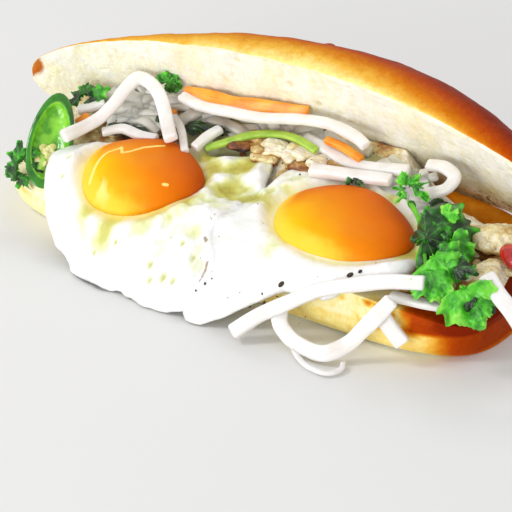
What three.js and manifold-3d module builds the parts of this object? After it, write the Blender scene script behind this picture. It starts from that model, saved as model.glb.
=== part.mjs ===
// Open banh mi: a roll slit along its front, its top half tilted back on the uncut crust, filled with
// grilled chicken, two fried eggs, pickled daikon and carrot strips, herbs, jalapeno and chilli.
// Millimetres, +Z up. The origin is the middle of the roll's flat underside, +X runs along the roll
// and -Y is the open front.
import * as THREE from "three";
import { mergeVertices } from "three/addons/utils/BufferGeometryUtils.js";
import Module from "manifold-3d";

const wasm = await Module();
wasm.setup();

// Clearance left between two pieces that touch.
const GAP = 0.3;

// Corners closer than this are merged.
const MERGE_DISTANCE = 1e-4;

// Bottom half of the roll: a superellipse in plan, with bulging sides between two flats.
const BASE = {
  centreX: 0.5,
  halfLength: 91.5,
  halfWidth: 34.5,
  planPower: 4.2,
  middleHeight: 8.5,
  below: 11,
  above: 14,
  sectionPower: 0.62,
  heightPower: 0.25,
  cutHeight: 17,
  endDrop: 0.35,
  endDropPower: 6,
};

// Top half of the roll. Its cut face is a chord that turns and sinks along the roll, and `along` below
// is the distance from centreX over `length`, from -1 to 1.
const LID = {
  centreX: 6,
  length: 106,
  rightLength: 99,
  halfFace: 25.3,
  planPower: 2.4,
  faceY: (along) => 21.5 + 8.6 * along - 8.1 * along ** 2,
  faceZ: (along) => 40.6 + 1.3 * along - 11.2 * along ** 2 - 1.2 * along ** 3,
  tilt: (along) => THREE.MathUtils.degToRad(60.8 - 6.2 * along),
  crust: (along) => 21.5 + 7.5 * along - 11.5 * along ** 2,
  crustPlanPower: 2,
  crustRound: 0.9,
  crumbSwell: 1,
};

// Uncut crust that joins the halves along the back.
const HINGE = { fromX: -50, toX: 74, y: 31.5, z: 17, radius: 5, endPower: 4 };

// The filling's upper surface: level over the cut face, rising to the crumb behind, and falling in a
// curve over the front edge of the roll.
const FILLING = {
  level: 24.5,
  frontY: -24,
  drop: 22.4,
  shortReach: 12,
  extraReach: 17,
  reachMiddleX: -5,
  reachHalfLength: 66,
  riseFromY: -4,
  riseSlope: 0.62,
  riseBend: 5,
};

const EGG = {
  thin: 1.9,
  thickest: 4.6,
  thickSpread: 24,
  edgeWaves: [
    { height: 0.5, count: 5 },
    { height: 0.4, count: 9 },
  ],
  yolkPower: 2.6,
  yolkSink: 2.4,
  yolkSetDown: 0.4,
  lowest: 0.7,
};

// Usual section of a strip, with square-cornered sides rounded by cornerPower.
const STRIP = { thickness: 3, width: 4.6, cornerPower: 0.5 };

const COLOURS = {
  crust: 0xd28432,
  white: 0xf4f5ee,
  yolk: 0xf29a0c,
  daikon: 0xf1ecec,
  carrot: 0xf59a4a,
  chicken: 0xcda36e,
  herb: 0x1f8a1c,
  stem: 0x8fce3c,
  jalapeno: 0x2f9a1e,
  chilli: 0xd22418,
};

const { clamp, smoothstep } = THREE.MathUtils;

function signedPower(value, power) {
  return Math.sign(value) * Math.abs(value) ** power;
}

// Width of a superellipse at `along` from -1 to 1, as a share of its width in the middle.
function planShare(along, power) {
  return Math.max(0, 1 - Math.abs(along) ** power) ** (1 / power);
}

function gauss(distance, spread) {
  return Math.exp(-((distance / spread) ** 2));
}

// Small fixed-seed generator, so that the heap is the same each time.
function seededRandom(seed) {
  const multiplier = 1664525;
  const increment = 1013904223;
  const modulus = 2 ** 32;
  let state = seed;
  return () => {
    state = (state * multiplier + increment) % modulus;
    return state / modulus;
  };
}

function fillingHeight(x, y) {
  const offMiddle = (x - FILLING.reachMiddleX) / FILLING.reachHalfLength;
  const reach = FILLING.shortReach + FILLING.extraReach * planShare(offMiddle, 2);
  const pastEdge = Math.max(0, FILLING.frontY - y) / reach;
  const bend = FILLING.riseBend;
  const rise = bend * Math.log1p(Math.exp((y - FILLING.riseFromY) / bend));
  return FILLING.level - FILLING.drop * pastEdge ** 2 + FILLING.riseSlope * rise;
}

function fillingNormal(x, y) {
  const step = 0.5;
  const slopeX = (fillingHeight(x + step, y) - fillingHeight(x - step, y)) / (2 * step);
  const slopeY = (fillingHeight(x, y + step) - fillingHeight(x, y - step)) / (2 * step);
  return new THREE.Vector3(-slopeX, -slopeY, 1).normalize();
}

// A point above the filling's surface.
function over(x, y, lift) {
  return new THREE.Vector3(x, y, fillingHeight(x, y) + lift);
}

function at(x, y, z) {
  return new THREE.Vector3(x, y, z);
}

// A manifold solid from a geometry, with shared corners merged and empty triangles dropped.
function solidOf(geometry) {
  const bare = geometry.clone();
  bare.deleteAttribute("normal");
  bare.deleteAttribute("uv");
  const merged = mergeVertices(bare, MERGE_DISTANCE);
  const corners = merged.index.array;
  const kept = [];
  for (let i = 0; i < corners.length; i += 3) {
    const [a, b, c] = [corners[i], corners[i + 1], corners[i + 2]];
    if (a !== b && b !== c && a !== c) kept.push(a, b, c);
  }
  const vertProperties = merged.attributes.position.array;
  return new wasm.Manifold(new wasm.Mesh({ numProp: 3, vertProperties, triVerts: new Uint32Array(kept) }));
}

function geometryOf(points, triangles) {
  const geometry = new THREE.BufferGeometry().setFromPoints(points);
  geometry.setIndex(triangles);
  return geometry;
}

// A closed skin of rings from one end point to the other: point(along, around), both from 0 to 1.
function ringSolid(rows, columns, point) {
  const points = [point(0, 0)];
  for (let row = 1; row < rows; row++)
    for (let column = 0; column < columns; column++) points.push(point(row / rows, column / columns));
  points.push(point(1, 0));
  const last = points.length - 1;
  const ring = (row, column) => 1 + (row - 1) * columns + (column % columns);
  const triangles = [];
  for (let column = 0; column < columns; column++) {
    triangles.push(0, ring(1, column + 1), ring(1, column));
    triangles.push(last, ring(rows - 1, column), ring(rows - 1, column + 1));
    for (let row = 1; row < rows - 1; row++) {
      const [a, b] = [ring(row, column), ring(row, column + 1)];
      const [c, d] = [ring(row + 1, column), ring(row + 1, column + 1)];
      triangles.push(a, b, d, a, d, c);
    }
  }
  return solidOf(geometryOf(points, triangles));
}

// A thin solid with both faces split alike: face(share, angle, side) with share from 0 in the middle
// to 1 at the edge, angle in radians, and side 1 on top or -1 underneath.
function sheetSolid(rings, columns, face) {
  const points = [];
  for (const side of [1, -1]) {
    points.push(face(0, 0, side));
    for (let row = 1; row <= rings; row++)
      for (let column = 0; column < columns; column++)
        points.push(face(row / rings, (2 * Math.PI * column) / columns, side));
  }
  const underneath = points.length / 2;
  const ring = (row, column) => 1 + (row - 1) * columns + (column % columns);
  const triangles = [];
  for (let column = 0; column < columns; column++) {
    const inner = [ring(1, column), ring(1, column + 1)];
    triangles.push(0, inner[0], inner[1]);
    triangles.push(underneath, underneath + inner[1], underneath + inner[0]);
    for (let row = 1; row < rings; row++) {
      const [a, b] = [ring(row, column), ring(row, column + 1)];
      const [c, d] = [ring(row + 1, column), ring(row + 1, column + 1)];
      triangles.push(a, c, d, a, d, b);
      triangles.push(underneath + a, underneath + d, underneath + c);
      triangles.push(underneath + a, underneath + b, underneath + d);
    }
    const [edge, next] = [ring(rings, column), ring(rings, column + 1)];
    triangles.push(edge, underneath + edge, underneath + next);
    triangles.push(edge, underneath + next, next);
  }
  return solidOf(geometryOf(points, triangles));
}

// Bread

function bottomHalf(grow) {
  const rows = 24;
  const columns = 14;
  const length = BASE.halfLength + grow;
  return ringSolid(rows, columns, (along, around) => {
    const lengthwise = -Math.cos(Math.PI * along);
    const share = planShare(lengthwise, BASE.planPower);
    const x = BASE.centreX + length * lengthwise;
    const angle = 2 * Math.PI * around;
    const height = Math.sin(angle) > 0 ? BASE.above : BASE.below;
    const y = share * (BASE.halfWidth + grow) * signedPower(Math.cos(angle), BASE.sectionPower);
    const rise = height * share ** BASE.heightPower * signedPower(Math.sin(angle), BASE.sectionPower);
    const z = BASE.middleHeight + rise;
    const cut = BASE.cutHeight * (1 - BASE.endDrop * lengthwise ** BASE.endDropPower);
    return at(x, y, clamp(z, -grow, cut + grow));
  });
}

// The tilted chord of the top half at x: its middle, half width, crust depth and directions.
function lidStation(x) {
  const along = (x - LID.centreX) / LID.length;
  const reach = x > LID.centreX ? LID.rightLength : LID.length;
  const share = planShare((x - LID.centreX) / reach, LID.planPower);
  const tilt = LID.tilt(along);
  return {
    middle: at(x, LID.faceY(along), LID.faceZ(along)),
    halfFace: LID.halfFace * share,
    crust: LID.crust(along) * share ** LID.crustPlanPower,
    towardsRim: at(0, -Math.cos(tilt), Math.sin(tilt)),
    outward: at(0, Math.sin(tilt), Math.cos(tilt)),
  };
}

function topHalf(grow) {
  const rows = 24;
  const columns = 14;
  const middleX = LID.centreX + (LID.rightLength - LID.length) / 2;
  const halfLength = (LID.rightLength + LID.length) / 2;
  return ringSolid(rows, columns, (along, around) => {
    const station = lidStation(middleX - halfLength * Math.cos(Math.PI * along));
    const angle = -2 * Math.PI * around;
    const across = (station.halfFace + grow) * Math.cos(angle);
    const depth =
      Math.sin(angle) > 0
        ? (station.crust + grow) * Math.sin(angle) ** LID.crustRound
        : (LID.crumbSwell * (station.halfFace / LID.halfFace) + grow) * Math.sin(angle);
    return station.middle
      .addScaledVector(station.towardsRim, across)
      .addScaledVector(station.outward, depth);
  });
}

function hingeCrust(grow) {
  const rows = 14;
  const columns = 8;
  const radius = HINGE.radius + grow;
  return ringSolid(rows, columns, (along, around) => {
    const x = THREE.MathUtils.lerp(HINGE.fromX, HINGE.toX, along);
    const angle = 2 * Math.PI * around;
    const share = planShare(2 * along - 1, HINGE.endPower);
    return at(x, HINGE.y + radius * share * Math.cos(angle), HINGE.z + radius * share * Math.sin(angle));
  });
}

function breadRoll(grow) {
  return bottomHalf(grow).add(topHalf(grow)).add(hingeCrust(grow));
}

// Fried eggs. Outline and place of each in plan, with a lobe that hangs over the front.
const LEFT_EGG = {
  x: -26,
  y: -26,
  halfLength: 42,
  halfWidth: 25,
  lift: 0,
  lobes: [
    { angle: 322, reach: 9, spread: 26 },
    { angle: 52, reach: 9, spread: 14 },
    { angle: 262, reach: 2.5, spread: 34 },
  ],
  yolk: { x: -34.5, y: -20.5, halfLength: 20.5, halfWidth: 17.5, dome: 7 },
};
const RIGHT_EGG = {
  x: 36,
  y: -15,
  halfLength: 33,
  halfWidth: 22,
  lift: 0.9,
  lobes: [
    { angle: 231, reach: 24, spread: 20 },
    { angle: 203, reach: 5, spread: 7 },
    { angle: 150, reach: 6, spread: 12 },
    { angle: 280, reach: 4, spread: 22 },
  ],
  yolk: { x: 37.5, y: -13, halfLength: 24, halfWidth: 16.5, dome: 7.5 },
};

function eggOutline(egg, angle) {
  const oval = 1 / Math.hypot(Math.cos(angle) / egg.halfLength, Math.sin(angle) / egg.halfWidth);
  const wave = EGG.edgeWaves.reduce((sum, w) => sum + w.height * Math.sin(w.count * angle + egg.x), 0);
  const degrees = THREE.MathUtils.radToDeg(angle);
  const lobe = egg.lobes.reduce((sum, l) => sum + l.reach * gauss(degrees - l.angle, l.spread), 0);
  return oval + lobe + wave;
}

function eggWhite(egg, grow) {
  const rings = 5;
  const columns = 28;
  return sheetSolid(rings, columns, (share, angle, side) => {
    const radius = share * (eggOutline(egg, angle) + grow);
    const x = egg.x + radius * Math.cos(angle);
    const y = egg.y + radius * Math.sin(angle);
    const fromYolk = Math.hypot(x - egg.yolk.x, y - egg.yolk.y);
    const thickness = EGG.thin + (EGG.thickest - EGG.thin) * gauss(fromYolk, EGG.thickSpread);
    const depth = side > 0 ? egg.lift + grow : -egg.lift - thickness - grow;
    const point = over(x, y, 0).addScaledVector(fillingNormal(x, y), depth);
    point.z = Math.max(point.z, EGG.lowest - grow);
    return point;
  });
}

function yolk(shape, grow) {
  const rings = 5;
  const columns = 18;
  return sheetSolid(rings, columns, (share, angle, side) => {
    const x = shape.x + share * (shape.halfLength + grow) * Math.cos(angle);
    const y = shape.y + share * (shape.halfWidth + grow) * Math.sin(angle);
    const round = Math.sqrt(1 - share ** EGG.yolkPower);
    const height = side > 0 ? shape.dome * round + grow : -EGG.yolkSink * Math.sqrt(round) - grow;
    return over(x, y, height - EGG.yolkSetDown);
  });
}

// Strips

// A strip of rounded-rectangle section along a curve, its flat side turned to `facing`.
function strip(route, { width = STRIP.width, thickness = STRIP.thickness, facing, steps, taper }, grow) {
  const columns = 8;
  const curve = new THREE.CatmullRomCurve3(route);
  const rows = steps + 2;
  return ringSolid(rows, columns, (along, around) => {
    const t = clamp((along * rows - 1) / steps, 0, 1);
    const middle = curve.getPoint(t);
    const ahead = curve.getTangent(t);
    const sideways = new THREE.Vector3().crossVectors(facing, ahead).normalize();
    const outward = new THREE.Vector3().crossVectors(ahead, sideways).normalize();
    const end = along === 0 ? -grow : along === 1 ? grow : 0;
    const onAxis = along === 0 || along === 1;
    const narrowing = 1 - taper * t;
    const angle = 2 * Math.PI * (around + 1 / (2 * columns));
    const half = onAxis ? 0 : narrowing / 2;
    const across = width * half * signedPower(Math.cos(angle), STRIP.cornerPower);
    const up = thickness * half * signedPower(Math.sin(angle), STRIP.cornerPower);
    const spread = onAxis ? 0 : grow;
    return middle
      .addScaledVector(ahead, end)
      .addScaledVector(sideways, across + spread * Math.sign(across))
      .addScaledVector(outward, up + spread * Math.sign(up));
  });
}

const UP = at(0, -0.35, 0.94);
const FRONT = at(0, -1, 0.4);
const CAMERA_SIDE = at(0.4, -0.75, 0.4);

// Daikon and carrot strips, each along a few points, the ones on top first.
const STRIPS = [
  {
    name: "daikon_front_long",
    route: [
      at(25, -53.6, 3.4),
      over(31, -48, 3),
      over(39, -43, 2.8),
      over(47, -38, 2.8),
      over(55, -34, 2.8),
      over(65, -29, 2.8),
      over(77, -27, 3),
    ],
    facing: FRONT,
    steps: 12,
  },
  {
    name: "daikon_loop",
    route: [
      at(35.5, -43, 12),
      at(37.5, -46, 7.5),
      at(42, -47, 4.4),
      at(48, -48, 3.6),
      at(55, -47.5, 3.8),
      at(60, -43, 6.4),
      at(64, -39.4, 12),
      at(69, -38.4, 19),
      at(71.5, -36.5, 23),
    ],
    facing: CAMERA_SIDE,
    steps: 14,
    width: 5,
    thickness: 2.2,
  },
  {
    name: "daikon_curl",
    route: [
      at(43.5, -48, 2.2),
      at(48, -51, 1.4),
      at(54, -53.5, 1.4),
      at(60, -53, 1.4),
      at(62, -49, 1.4),
      at(61, -46, 1.8),
    ],
    facing: at(0, 0, 1),
    steps: 10,
    width: 1.6,
    thickness: 1.4,
  },
  {
    name: "daikon_hanging_end",
    route: [at(65.5, -34.6, 17), at(69, -35.2, 13.6), at(75, -35, 8)],
    facing: at(0.2, -1, 0.2),
    steps: 6,
    width: 5.4,
    thickness: 2.6,
  },
  {
    name: "daikon_arch",
    route: [
      at(-66, -22, 29),
      at(-62, -9, 31),
      at(-60, -3, 34.5),
      at(-58.5, 2.5, 39),
      at(-56, 5.5, 42),
      at(-51.4, 5.7, 41.5),
      at(-46, 3.4, 40),
      at(-42, 0.8, 37),
      at(-37, -3.8, 34),
      at(-31, -10, 34),
    ],
    facing: at(0.5, -0.7, 0.5),
    steps: 16,
    width: 4.4,
    thickness: 2.6,
  },
  {
    name: "daikon_top_long",
    route: [
      at(-40.5, 8, 39),
      at(-31.5, 7, 38.5),
      at(-20.5, 7.5, 39.5),
      at(-10.5, 8.5, 40.2),
      at(3.5, 12.5, 42),
      at(13.5, 14, 42.8),
      at(24.5, 13, 42),
      at(29.5, 11.5, 41),
    ],
    facing: UP,
    steps: 14,
    width: 3.8,
    thickness: 2.6,
  },
  {
    name: "daikon_top_cut",
    route: [over(15, 2, 3.2), over(26, 4, 3.2), over(42, 7, 3.2)],
    facing: UP,
    steps: 8,
    width: 4.4,
  },
  {
    name: "daikon_top_slanting",
    route: [
      over(4, 14, -0.8),
      over(15, 12.2, 0),
      over(23, 10, 0.6),
      over(32, 10, 1.6),
      over(45, 12.5, 2),
    ],
    facing: UP,
    steps: 9,
    width: 4,
    thickness: 2.4,
  },
  {
    name: "daikon_folded",
    route: [
      over(50, 15, 3),
      over(56, 15.5, 3.4),
      over(61, 13.5, 3.6),
      over(60.5, 10, 3.2),
      over(55, 6.5, 3),
    ],
    facing: UP,
    steps: 10,
    width: 4.2,
    thickness: 2.2,
  },
  {
    name: "daikon_short",
    route: [over(-26, -4.5, 3.4), over(-25, 1, 3.2), over(-23, 6, 2.2)],
    facing: UP,
    steps: 6,
    width: 3.4,
    thickness: 2.6,
  },
  {
    name: "daikon_on_yolk",
    route: [over(-41, 4.5, 2.6), over(-36, 1.5, 3), over(-26.5, -8.5, 4.6)],
    facing: UP,
    steps: 7,
    width: 2.6,
    thickness: 2,
  },
  {
    name: "daikon_left",
    route: [over(-60, -9, 1.6), over(-55, -5, 1.8), over(-47, -6, 2.6), over(-40, -6, 3.4)],
    facing: UP,
    steps: 9,
    width: 3.6,
    thickness: 2.2,
  },
  {
    name: "daikon_back_left",
    route: [over(-74, -4, 2), over(-67, 1.5, 2.4)],
    facing: UP,
    steps: 4,
    width: 3.6,
    thickness: 2.4,
  },
  {
    name: "daikon_right",
    route: [
      at(93, -18.5, 30),
      at(100.4, -22.5, 27.4),
      at(105.3, -23.5, 24.4),
      at(110, -24, 19.5),
      at(113, -24.5, 13),
    ],
    facing: at(0.5, -0.6, 0.6),
    steps: 10,
    width: 5.4,
  },
  {
    name: "daikon_rim",
    route: [at(66, -28.8, 18.9), at(77, -26.8, 18.9), at(88, -23, 18.9)],
    facing: at(0, 0, 1),
    steps: 8,
    width: 4.4,
    thickness: 2.2,
  },
  {
    name: "carrot_broad",
    route: [
      at(-41, 10, 38.6),
      at(-31, 11.4, 39.4),
      at(-22, 12, 40),
      at(-12, 13.5, 41.4),
      at(4, 16.2, 43),
    ],
    facing: at(0, -0.7, 0.7),
    steps: 9,
    width: 5.6,
    thickness: 2.2,
    taper: 0.35,
    colour: COLOURS.carrot,
  },
  {
    name: "carrot_thin",
    route: [over(13.5, 12.5, 3), over(20.5, 12, 3), over(28.5, 10.6, 2.6)],
    facing: UP,
    steps: 6,
    width: 2.8,
    thickness: 2.2,
    colour: COLOURS.carrot,
  },
  {
    name: "carrot_left",
    route: [over(-70.5, -9, 1.6), over(-69, -4.5, 1.8)],
    facing: UP,
    steps: 4,
    width: 3,
    thickness: 2.2,
    colour: COLOURS.carrot,
  },
  {
    name: "carrot_under_arch",
    route: [over(-47, 7, 0.6), over(-42, 7, 0.8)],
    facing: UP,
    steps: 4,
    width: 2.6,
    thickness: 2,
    colour: COLOURS.carrot,
  },
  {
    name: "spring_onion_stem",
    route: [
      over(-24, -1, 1.2),
      over(-19, 3, 1.4),
      over(-14, 6.5, 1.6),
      over(-7, 9.6, 1.8),
      over(2, 11, 1.8),
      over(12, 9.5, 1.6),
    ],
    facing: UP,
    steps: 9,
    width: 2.8,
    thickness: 1.6,
    colour: COLOURS.stem,
  },
];

// Fillings

// The layer of grilled chicken on the cut face: low under the eggs and full height where it shows. Under
// the right half it is no higher than backTop, and it falls away behind slopeFromY, so the crumb is seen.
const CHICKEN = {
  planShare: 0.93,
  inset: 3,
  corner: 0.75,
  belowFilling: 0.9,
  eggRoom: 5,
  eggEndX: 66,
  openEndX: 76,
  showing: { x: 4, y: 8, spreadX: 17, spreadY: 8 },
  lump: { height: 0.5, waveX: 0.31, waveY: 0.43 },
  backTop: 28,
  backRoom: 14,
  backFromX: 30,
  backToX: 62,
  slopeFromX: 28,
  slopeToX: 44,
  slopeFromY: 12,
  slope: 0.7,
  thinnest: 1.2,
};

function chickenTop(x, y) {
  const { showing, lump } = CHICKEN;
  const coveredByEgg = 1 - smoothstep(x, CHICKEN.eggEndX, CHICKEN.openEndX);
  const open = gauss(x - showing.x, showing.spreadX) * gauss(y - showing.y, showing.spreadY);
  const lumps = lump.height * Math.sin(lump.waveX * x) * Math.cos(lump.waveY * y);
  const room = CHICKEN.belowFilling + CHICKEN.eggRoom * Math.max(0, coveredByEgg - open);
  const opening = 1 - smoothstep(x, CHICKEN.backFromX, CHICKEN.backToX);
  const behind = Math.max(0, y - CHICKEN.slopeFromY) * smoothstep(x, CHICKEN.slopeFromX, CHICKEN.slopeToX);
  const highest = CHICKEN.backTop + CHICKEN.backRoom * opening - CHICKEN.slope * behind;
  const top = Math.min(fillingHeight(x, y) - room, highest) + lumps;
  return Math.max(top, BASE.cutHeight + CHICKEN.thinnest);
}

function chickenLayer(grow) {
  const rings = 4;
  const columns = 24;
  const halfLength = CHICKEN.planShare * BASE.halfLength + grow;
  const halfWidth = CHICKEN.planShare * BASE.halfWidth - CHICKEN.inset + grow;
  return sheetSolid(rings, columns, (reach, angle, side) => {
    const x = BASE.centreX + reach * halfLength * signedPower(Math.cos(angle), CHICKEN.corner);
    const y = reach * halfWidth * signedPower(Math.sin(angle), CHICKEN.corner);
    return at(x, y, side > 0 ? chickenTop(x, y) + grow : BASE.cutHeight + GAP - grow);
  });
}

// Shaded strips and scraps under the top half, fused on a low core.
const HEAP = {
  x: -6,
  y: 12,
  halfLength: 66,
  halfWidth: 9,
  corner: 0.8,
  top: -1.6,
  bottom: -6.4,
  edgeDrop: 3.4,
  stripMiddles: [-60, -50, -38, 34, 46],
  stripFront: 7,
  stripScatter: 4,
  stripHalfLength: 8,
  stripTurn: 1.1,
  stripMiddleLift: -0.9,
  stripEndLift: -2,
  seed: 11,
};

function heapCore() {
  const rings = 3;
  const columns = 15;
  return sheetSolid(rings, columns, (reach, angle, side) => {
    const x = HEAP.x + reach * HEAP.halfLength * signedPower(Math.cos(angle), HEAP.corner);
    const y = HEAP.y + reach * HEAP.halfWidth * signedPower(Math.sin(angle), HEAP.corner);
    return over(x, y, side > 0 ? HEAP.top - HEAP.edgeDrop * reach ** 4 : HEAP.bottom);
  });
}

function pickleHeap() {
  const random = seededRandom(HEAP.seed);
  const size = { width: 4.2, thickness: 2.8, facing: UP, steps: 3, taper: 0 };
  return HEAP.stripMiddles.reduce((heap, x) => {
    const y = HEAP.stripFront + HEAP.stripScatter * random();
    const turn = (random() - 0.5) * HEAP.stripTurn;
    const aside = HEAP.stripHalfLength * Math.cos(turn);
    const back = HEAP.stripHalfLength * Math.sin(turn);
    const start = over(x - aside, y - back, HEAP.stripEndLift);
    const end = over(x + aside, y + back, HEAP.stripEndLift);
    return heap.add(strip([start, over(x, y, HEAP.stripMiddleLift), end], size, 0));
  }, heapCore());
}

// Places a shape made along X with its face up Z: `along` is where X goes and `facing` where Z goes.
function placing({ place, along, facing }) {
  const sideways = new THREE.Vector3().crossVectors(facing, along).normalize();
  const upward = new THREE.Vector3().crossVectors(along, sideways).normalize();
  return new THREE.Matrix4().makeBasis(along.clone().normalize(), sideways, upward).setPosition(place);
}

// A round-ended piece: a sphere stretched to the given half sizes.
function pebble(item, grow) {
  const round = new THREE.SphereGeometry(1, 14, 8);
  const size = item.halfSizes.clone().addScalar(grow);
  return solidOf(round.scale(size.x, size.y, size.z).applyMatrix4(placing(item)));
}

// Half a jalapeno lengthwise: a boat of flesh whose hollow side faces the front.
const JALAPENO = {
  place: at(-72.5, -20.5, 24.5),
  halfSizes: at(16.5, 7.4, 6.6),
  along: at(-0.26, 0.68, 0.69),
  facing: at(0.6, -0.6, 0.5),
  wall: 2,
  hollowShift: 3.8,
};

function jalapenoHalf(grow) {
  const outside = pebble(JALAPENO, grow);
  if (grow) return outside;
  const shift = JALAPENO.facing.clone().setLength(JALAPENO.hollowShift);
  const halfSizes = JALAPENO.halfSizes.clone().subScalar(JALAPENO.wall);
  return outside.subtract(pebble({ ...JALAPENO, place: shift.add(JALAPENO.place), halfSizes }, 0));
}

// Leaves

const LEAF = { halfThick: 0.45, offMiddle: 0.12, wave: 0.09, waves: 3 };

// A thin wavy leaf: a lobed outline about its middle.
function leaf(item, grow) {
  const { length, width, lobes, depth, cup } = item;
  const rings = 3;
  const columns = 20;
  const halfThick = LEAF.halfThick + grow;
  const placed = placing(item);
  return sheetSolid(rings, columns, (share, angle, side) => {
    const outline = 1 + depth * Math.cos(lobes * angle) - LEAF.offMiddle * Math.cos(angle);
    const radius = share * outline;
    const wave = LEAF.wave * width * share * Math.sin(LEAF.waves * angle + length) + cup * share ** 2;
    const x = (length / 2 + grow) * radius * Math.cos(angle);
    const y = (width / 2 + grow) * radius * Math.sin(angle);
    return at(x, y, wave + side * halfThick).applyMatrix4(placed);
  });
}

const LEAVES = [
  {
    name: "cilantro_leaf_low",
    place: at(96.5, -30, 25),
    along: at(0.7, -0.45, -0.55),
    facing: at(0.3, -0.7, 0.65),
    length: 18,
    width: 10,
    lobes: 5,
    depth: 0.16,
    cup: -1.2,
  },
  {
    name: "cilantro_leaf_bright",
    place: at(82.5, -24.5, 29.5),
    along: at(0.8, -0.4, -0.3),
    facing: at(0.2, -0.6, 0.75),
    length: 17,
    width: 12,
    lobes: 5,
    depth: 0.16,
    cup: -1.5,
  },
  {
    name: "cilantro_leaf_dark",
    place: at(76, -10.5, 36.5),
    along: at(0.75, 0.45, 0.1),
    facing: at(0.3, -0.65, 0.7),
    length: 20,
    width: 16,
    lobes: 5,
    depth: 0.14,
    cup: -1.8,
  },
  {
    name: "cilantro_leaf_top",
    place: at(54.5, -0.5, 37.5),
    along: at(0.8, -0.3, -0.35),
    facing: at(0.2, -0.7, 0.7),
    length: 11,
    width: 9,
    lobes: 5,
    depth: 0.2,
    cup: -0.8,
  },
  {
    name: "herb_scrap",
    place: at(32, 2.4, 33.6),
    along: at(0.9, 0.3, 0.1),
    facing: at(0, -0.5, 0.85),
    length: 6,
    width: 3.6,
    lobes: 3,
    depth: 0.14,
    cup: 0,
  },
  {
    name: "herb_leaf_left",
    place: at(-76, -31.5, 18),
    along: at(-0.35, 0.35, 0.85),
    facing: at(0.1, -0.9, 0.45),
    length: 16,
    width: 11,
    lobes: 9,
    depth: 0.07,
    cup: -1,
  },
  {
    name: "herb_leaf_back_left",
    place: at(-72.5, 1, 33),
    along: at(0.9, 0.35, 0.3),
    facing: at(0.1, -0.6, 0.75),
    length: 13,
    width: 7,
    lobes: 5,
    depth: 0.12,
    cup: 0.6,
  },
  {
    name: "herb_leaf_back",
    place: at(-46, 9.5, 41),
    along: at(0.7, 0.1, -0.6),
    facing: at(0.3, -0.7, 0.6),
    length: 9,
    width: 6,
    lobes: 3,
    depth: 0.14,
    cup: 0.5,
  },
];

const CILANTRO_STEM = {
  name: "cilantro_stem",
  route: [at(54, -1, 34.8), at(60, -5.5, 33.6), at(67, -13, 31), at(74, -22, 28.6)],
  facing: UP,
  steps: 8,
  width: 1.8,
  thickness: 1.8,
  colour: COLOURS.herb,
};

const CHICKEN_CHUNKS = [
  {
    name: "chicken_chunk_back",
    place: at(84, 2, 30),
    halfSizes: at(8, 6, 4.5),
    along: at(0.9, 0.3, 0),
    facing: at(0, -0.2, 1),
  },
  {
    name: "chicken_chunk_front",
    place: at(88, -11, 24),
    halfSizes: at(6.5, 8, 4.2),
    along: at(0.9, -0.3, 0),
    facing: at(0.1, -0.2, 1),
  },
];

const CHILLI = {
  name: "chilli_slice",
  place: at(93, -4, 30),
  halfSizes: at(6, 3.2, 1.6),
  along: at(0.8, -0.5, -0.1),
  facing: at(0.2, -0.6, 0.7),
};

function stripPiece(item, roughness) {
  const settings = { taper: 0, ...item };
  return {
    name: item.name,
    colour: item.colour ?? COLOURS.daikon,
    roughness,
    shape: (grow) => strip(item.route, settings, grow),
  };
}

// Every piece, outermost first. Each is cut back by the grown forms of the pieces before it.
const PIECES = [
  { name: "bread_roll", colour: COLOURS.crust, roughness: 0.6, shape: breadRoll },
  stripPiece(CILANTRO_STEM, 0.5),
  ...STRIPS.map((item) => stripPiece(item, 0.35)),
  ...LEAVES.map((item) => ({
    name: item.name,
    colour: COLOURS.herb,
    roughness: 0.5,
    shape: (grow) => leaf(item, grow),
  })),
  { name: "jalapeno_half", colour: COLOURS.jalapeno, roughness: 0.3, shape: jalapenoHalf },
  {
    name: CHILLI.name,
    colour: COLOURS.chilli,
    roughness: 0.3,
    shape: (grow) => pebble(CHILLI, grow),
  },
  { name: "yolk_left", colour: COLOURS.yolk, roughness: 0.2, shape: (grow) => yolk(LEFT_EGG.yolk, grow) },
  { name: "yolk_right", colour: COLOURS.yolk, roughness: 0.2, shape: (grow) => yolk(RIGHT_EGG.yolk, grow) },
  {
    name: "egg_white_right",
    colour: COLOURS.white,
    roughness: 0.3,
    shape: (grow) => eggWhite(RIGHT_EGG, grow),
  },
  {
    name: "egg_white_left",
    colour: COLOURS.white,
    roughness: 0.3,
    shape: (grow) => eggWhite(LEFT_EGG, grow),
  },
  ...CHICKEN_CHUNKS.map((item) => ({
    name: item.name,
    colour: COLOURS.chicken,
    roughness: 0.6,
    shape: (grow) => pebble(item, grow),
  })),
  { name: "grilled_chicken", colour: COLOURS.chicken, roughness: 0.6, shape: chickenLayer },
  { name: "pickle_heap", colour: COLOURS.daikon, roughness: 0.4, shape: pickleHeap },
];

function boxesMeet(one, other) {
  return [0, 1, 2].every((axis) => one.min[axis] < other.max[axis] && other.min[axis] < one.max[axis]);
}

function largestBody(solid) {
  const bodies = solid.decompose();
  return bodies.reduce((best, body) => (body.volume() > best.volume() ? body : best), bodies[0]);
}

function meshOf(piece, solid) {
  const { vertProperties, triVerts, numProp } = solid.getMesh();
  const geometry = new THREE.BufferGeometry();
  geometry.setAttribute("position", new THREE.BufferAttribute(new Float32Array(vertProperties), numProp));
  geometry.setIndex(new THREE.BufferAttribute(new Uint32Array(triVerts), 1));
  const material = new THREE.MeshStandardMaterial({
    color: piece.colour,
    roughness: piece.roughness,
    metalness: 0,
    flatShading: true,
  });
  const mesh = new THREE.Mesh(geometry, material);
  mesh.name = piece.name;
  return mesh;
}

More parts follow.
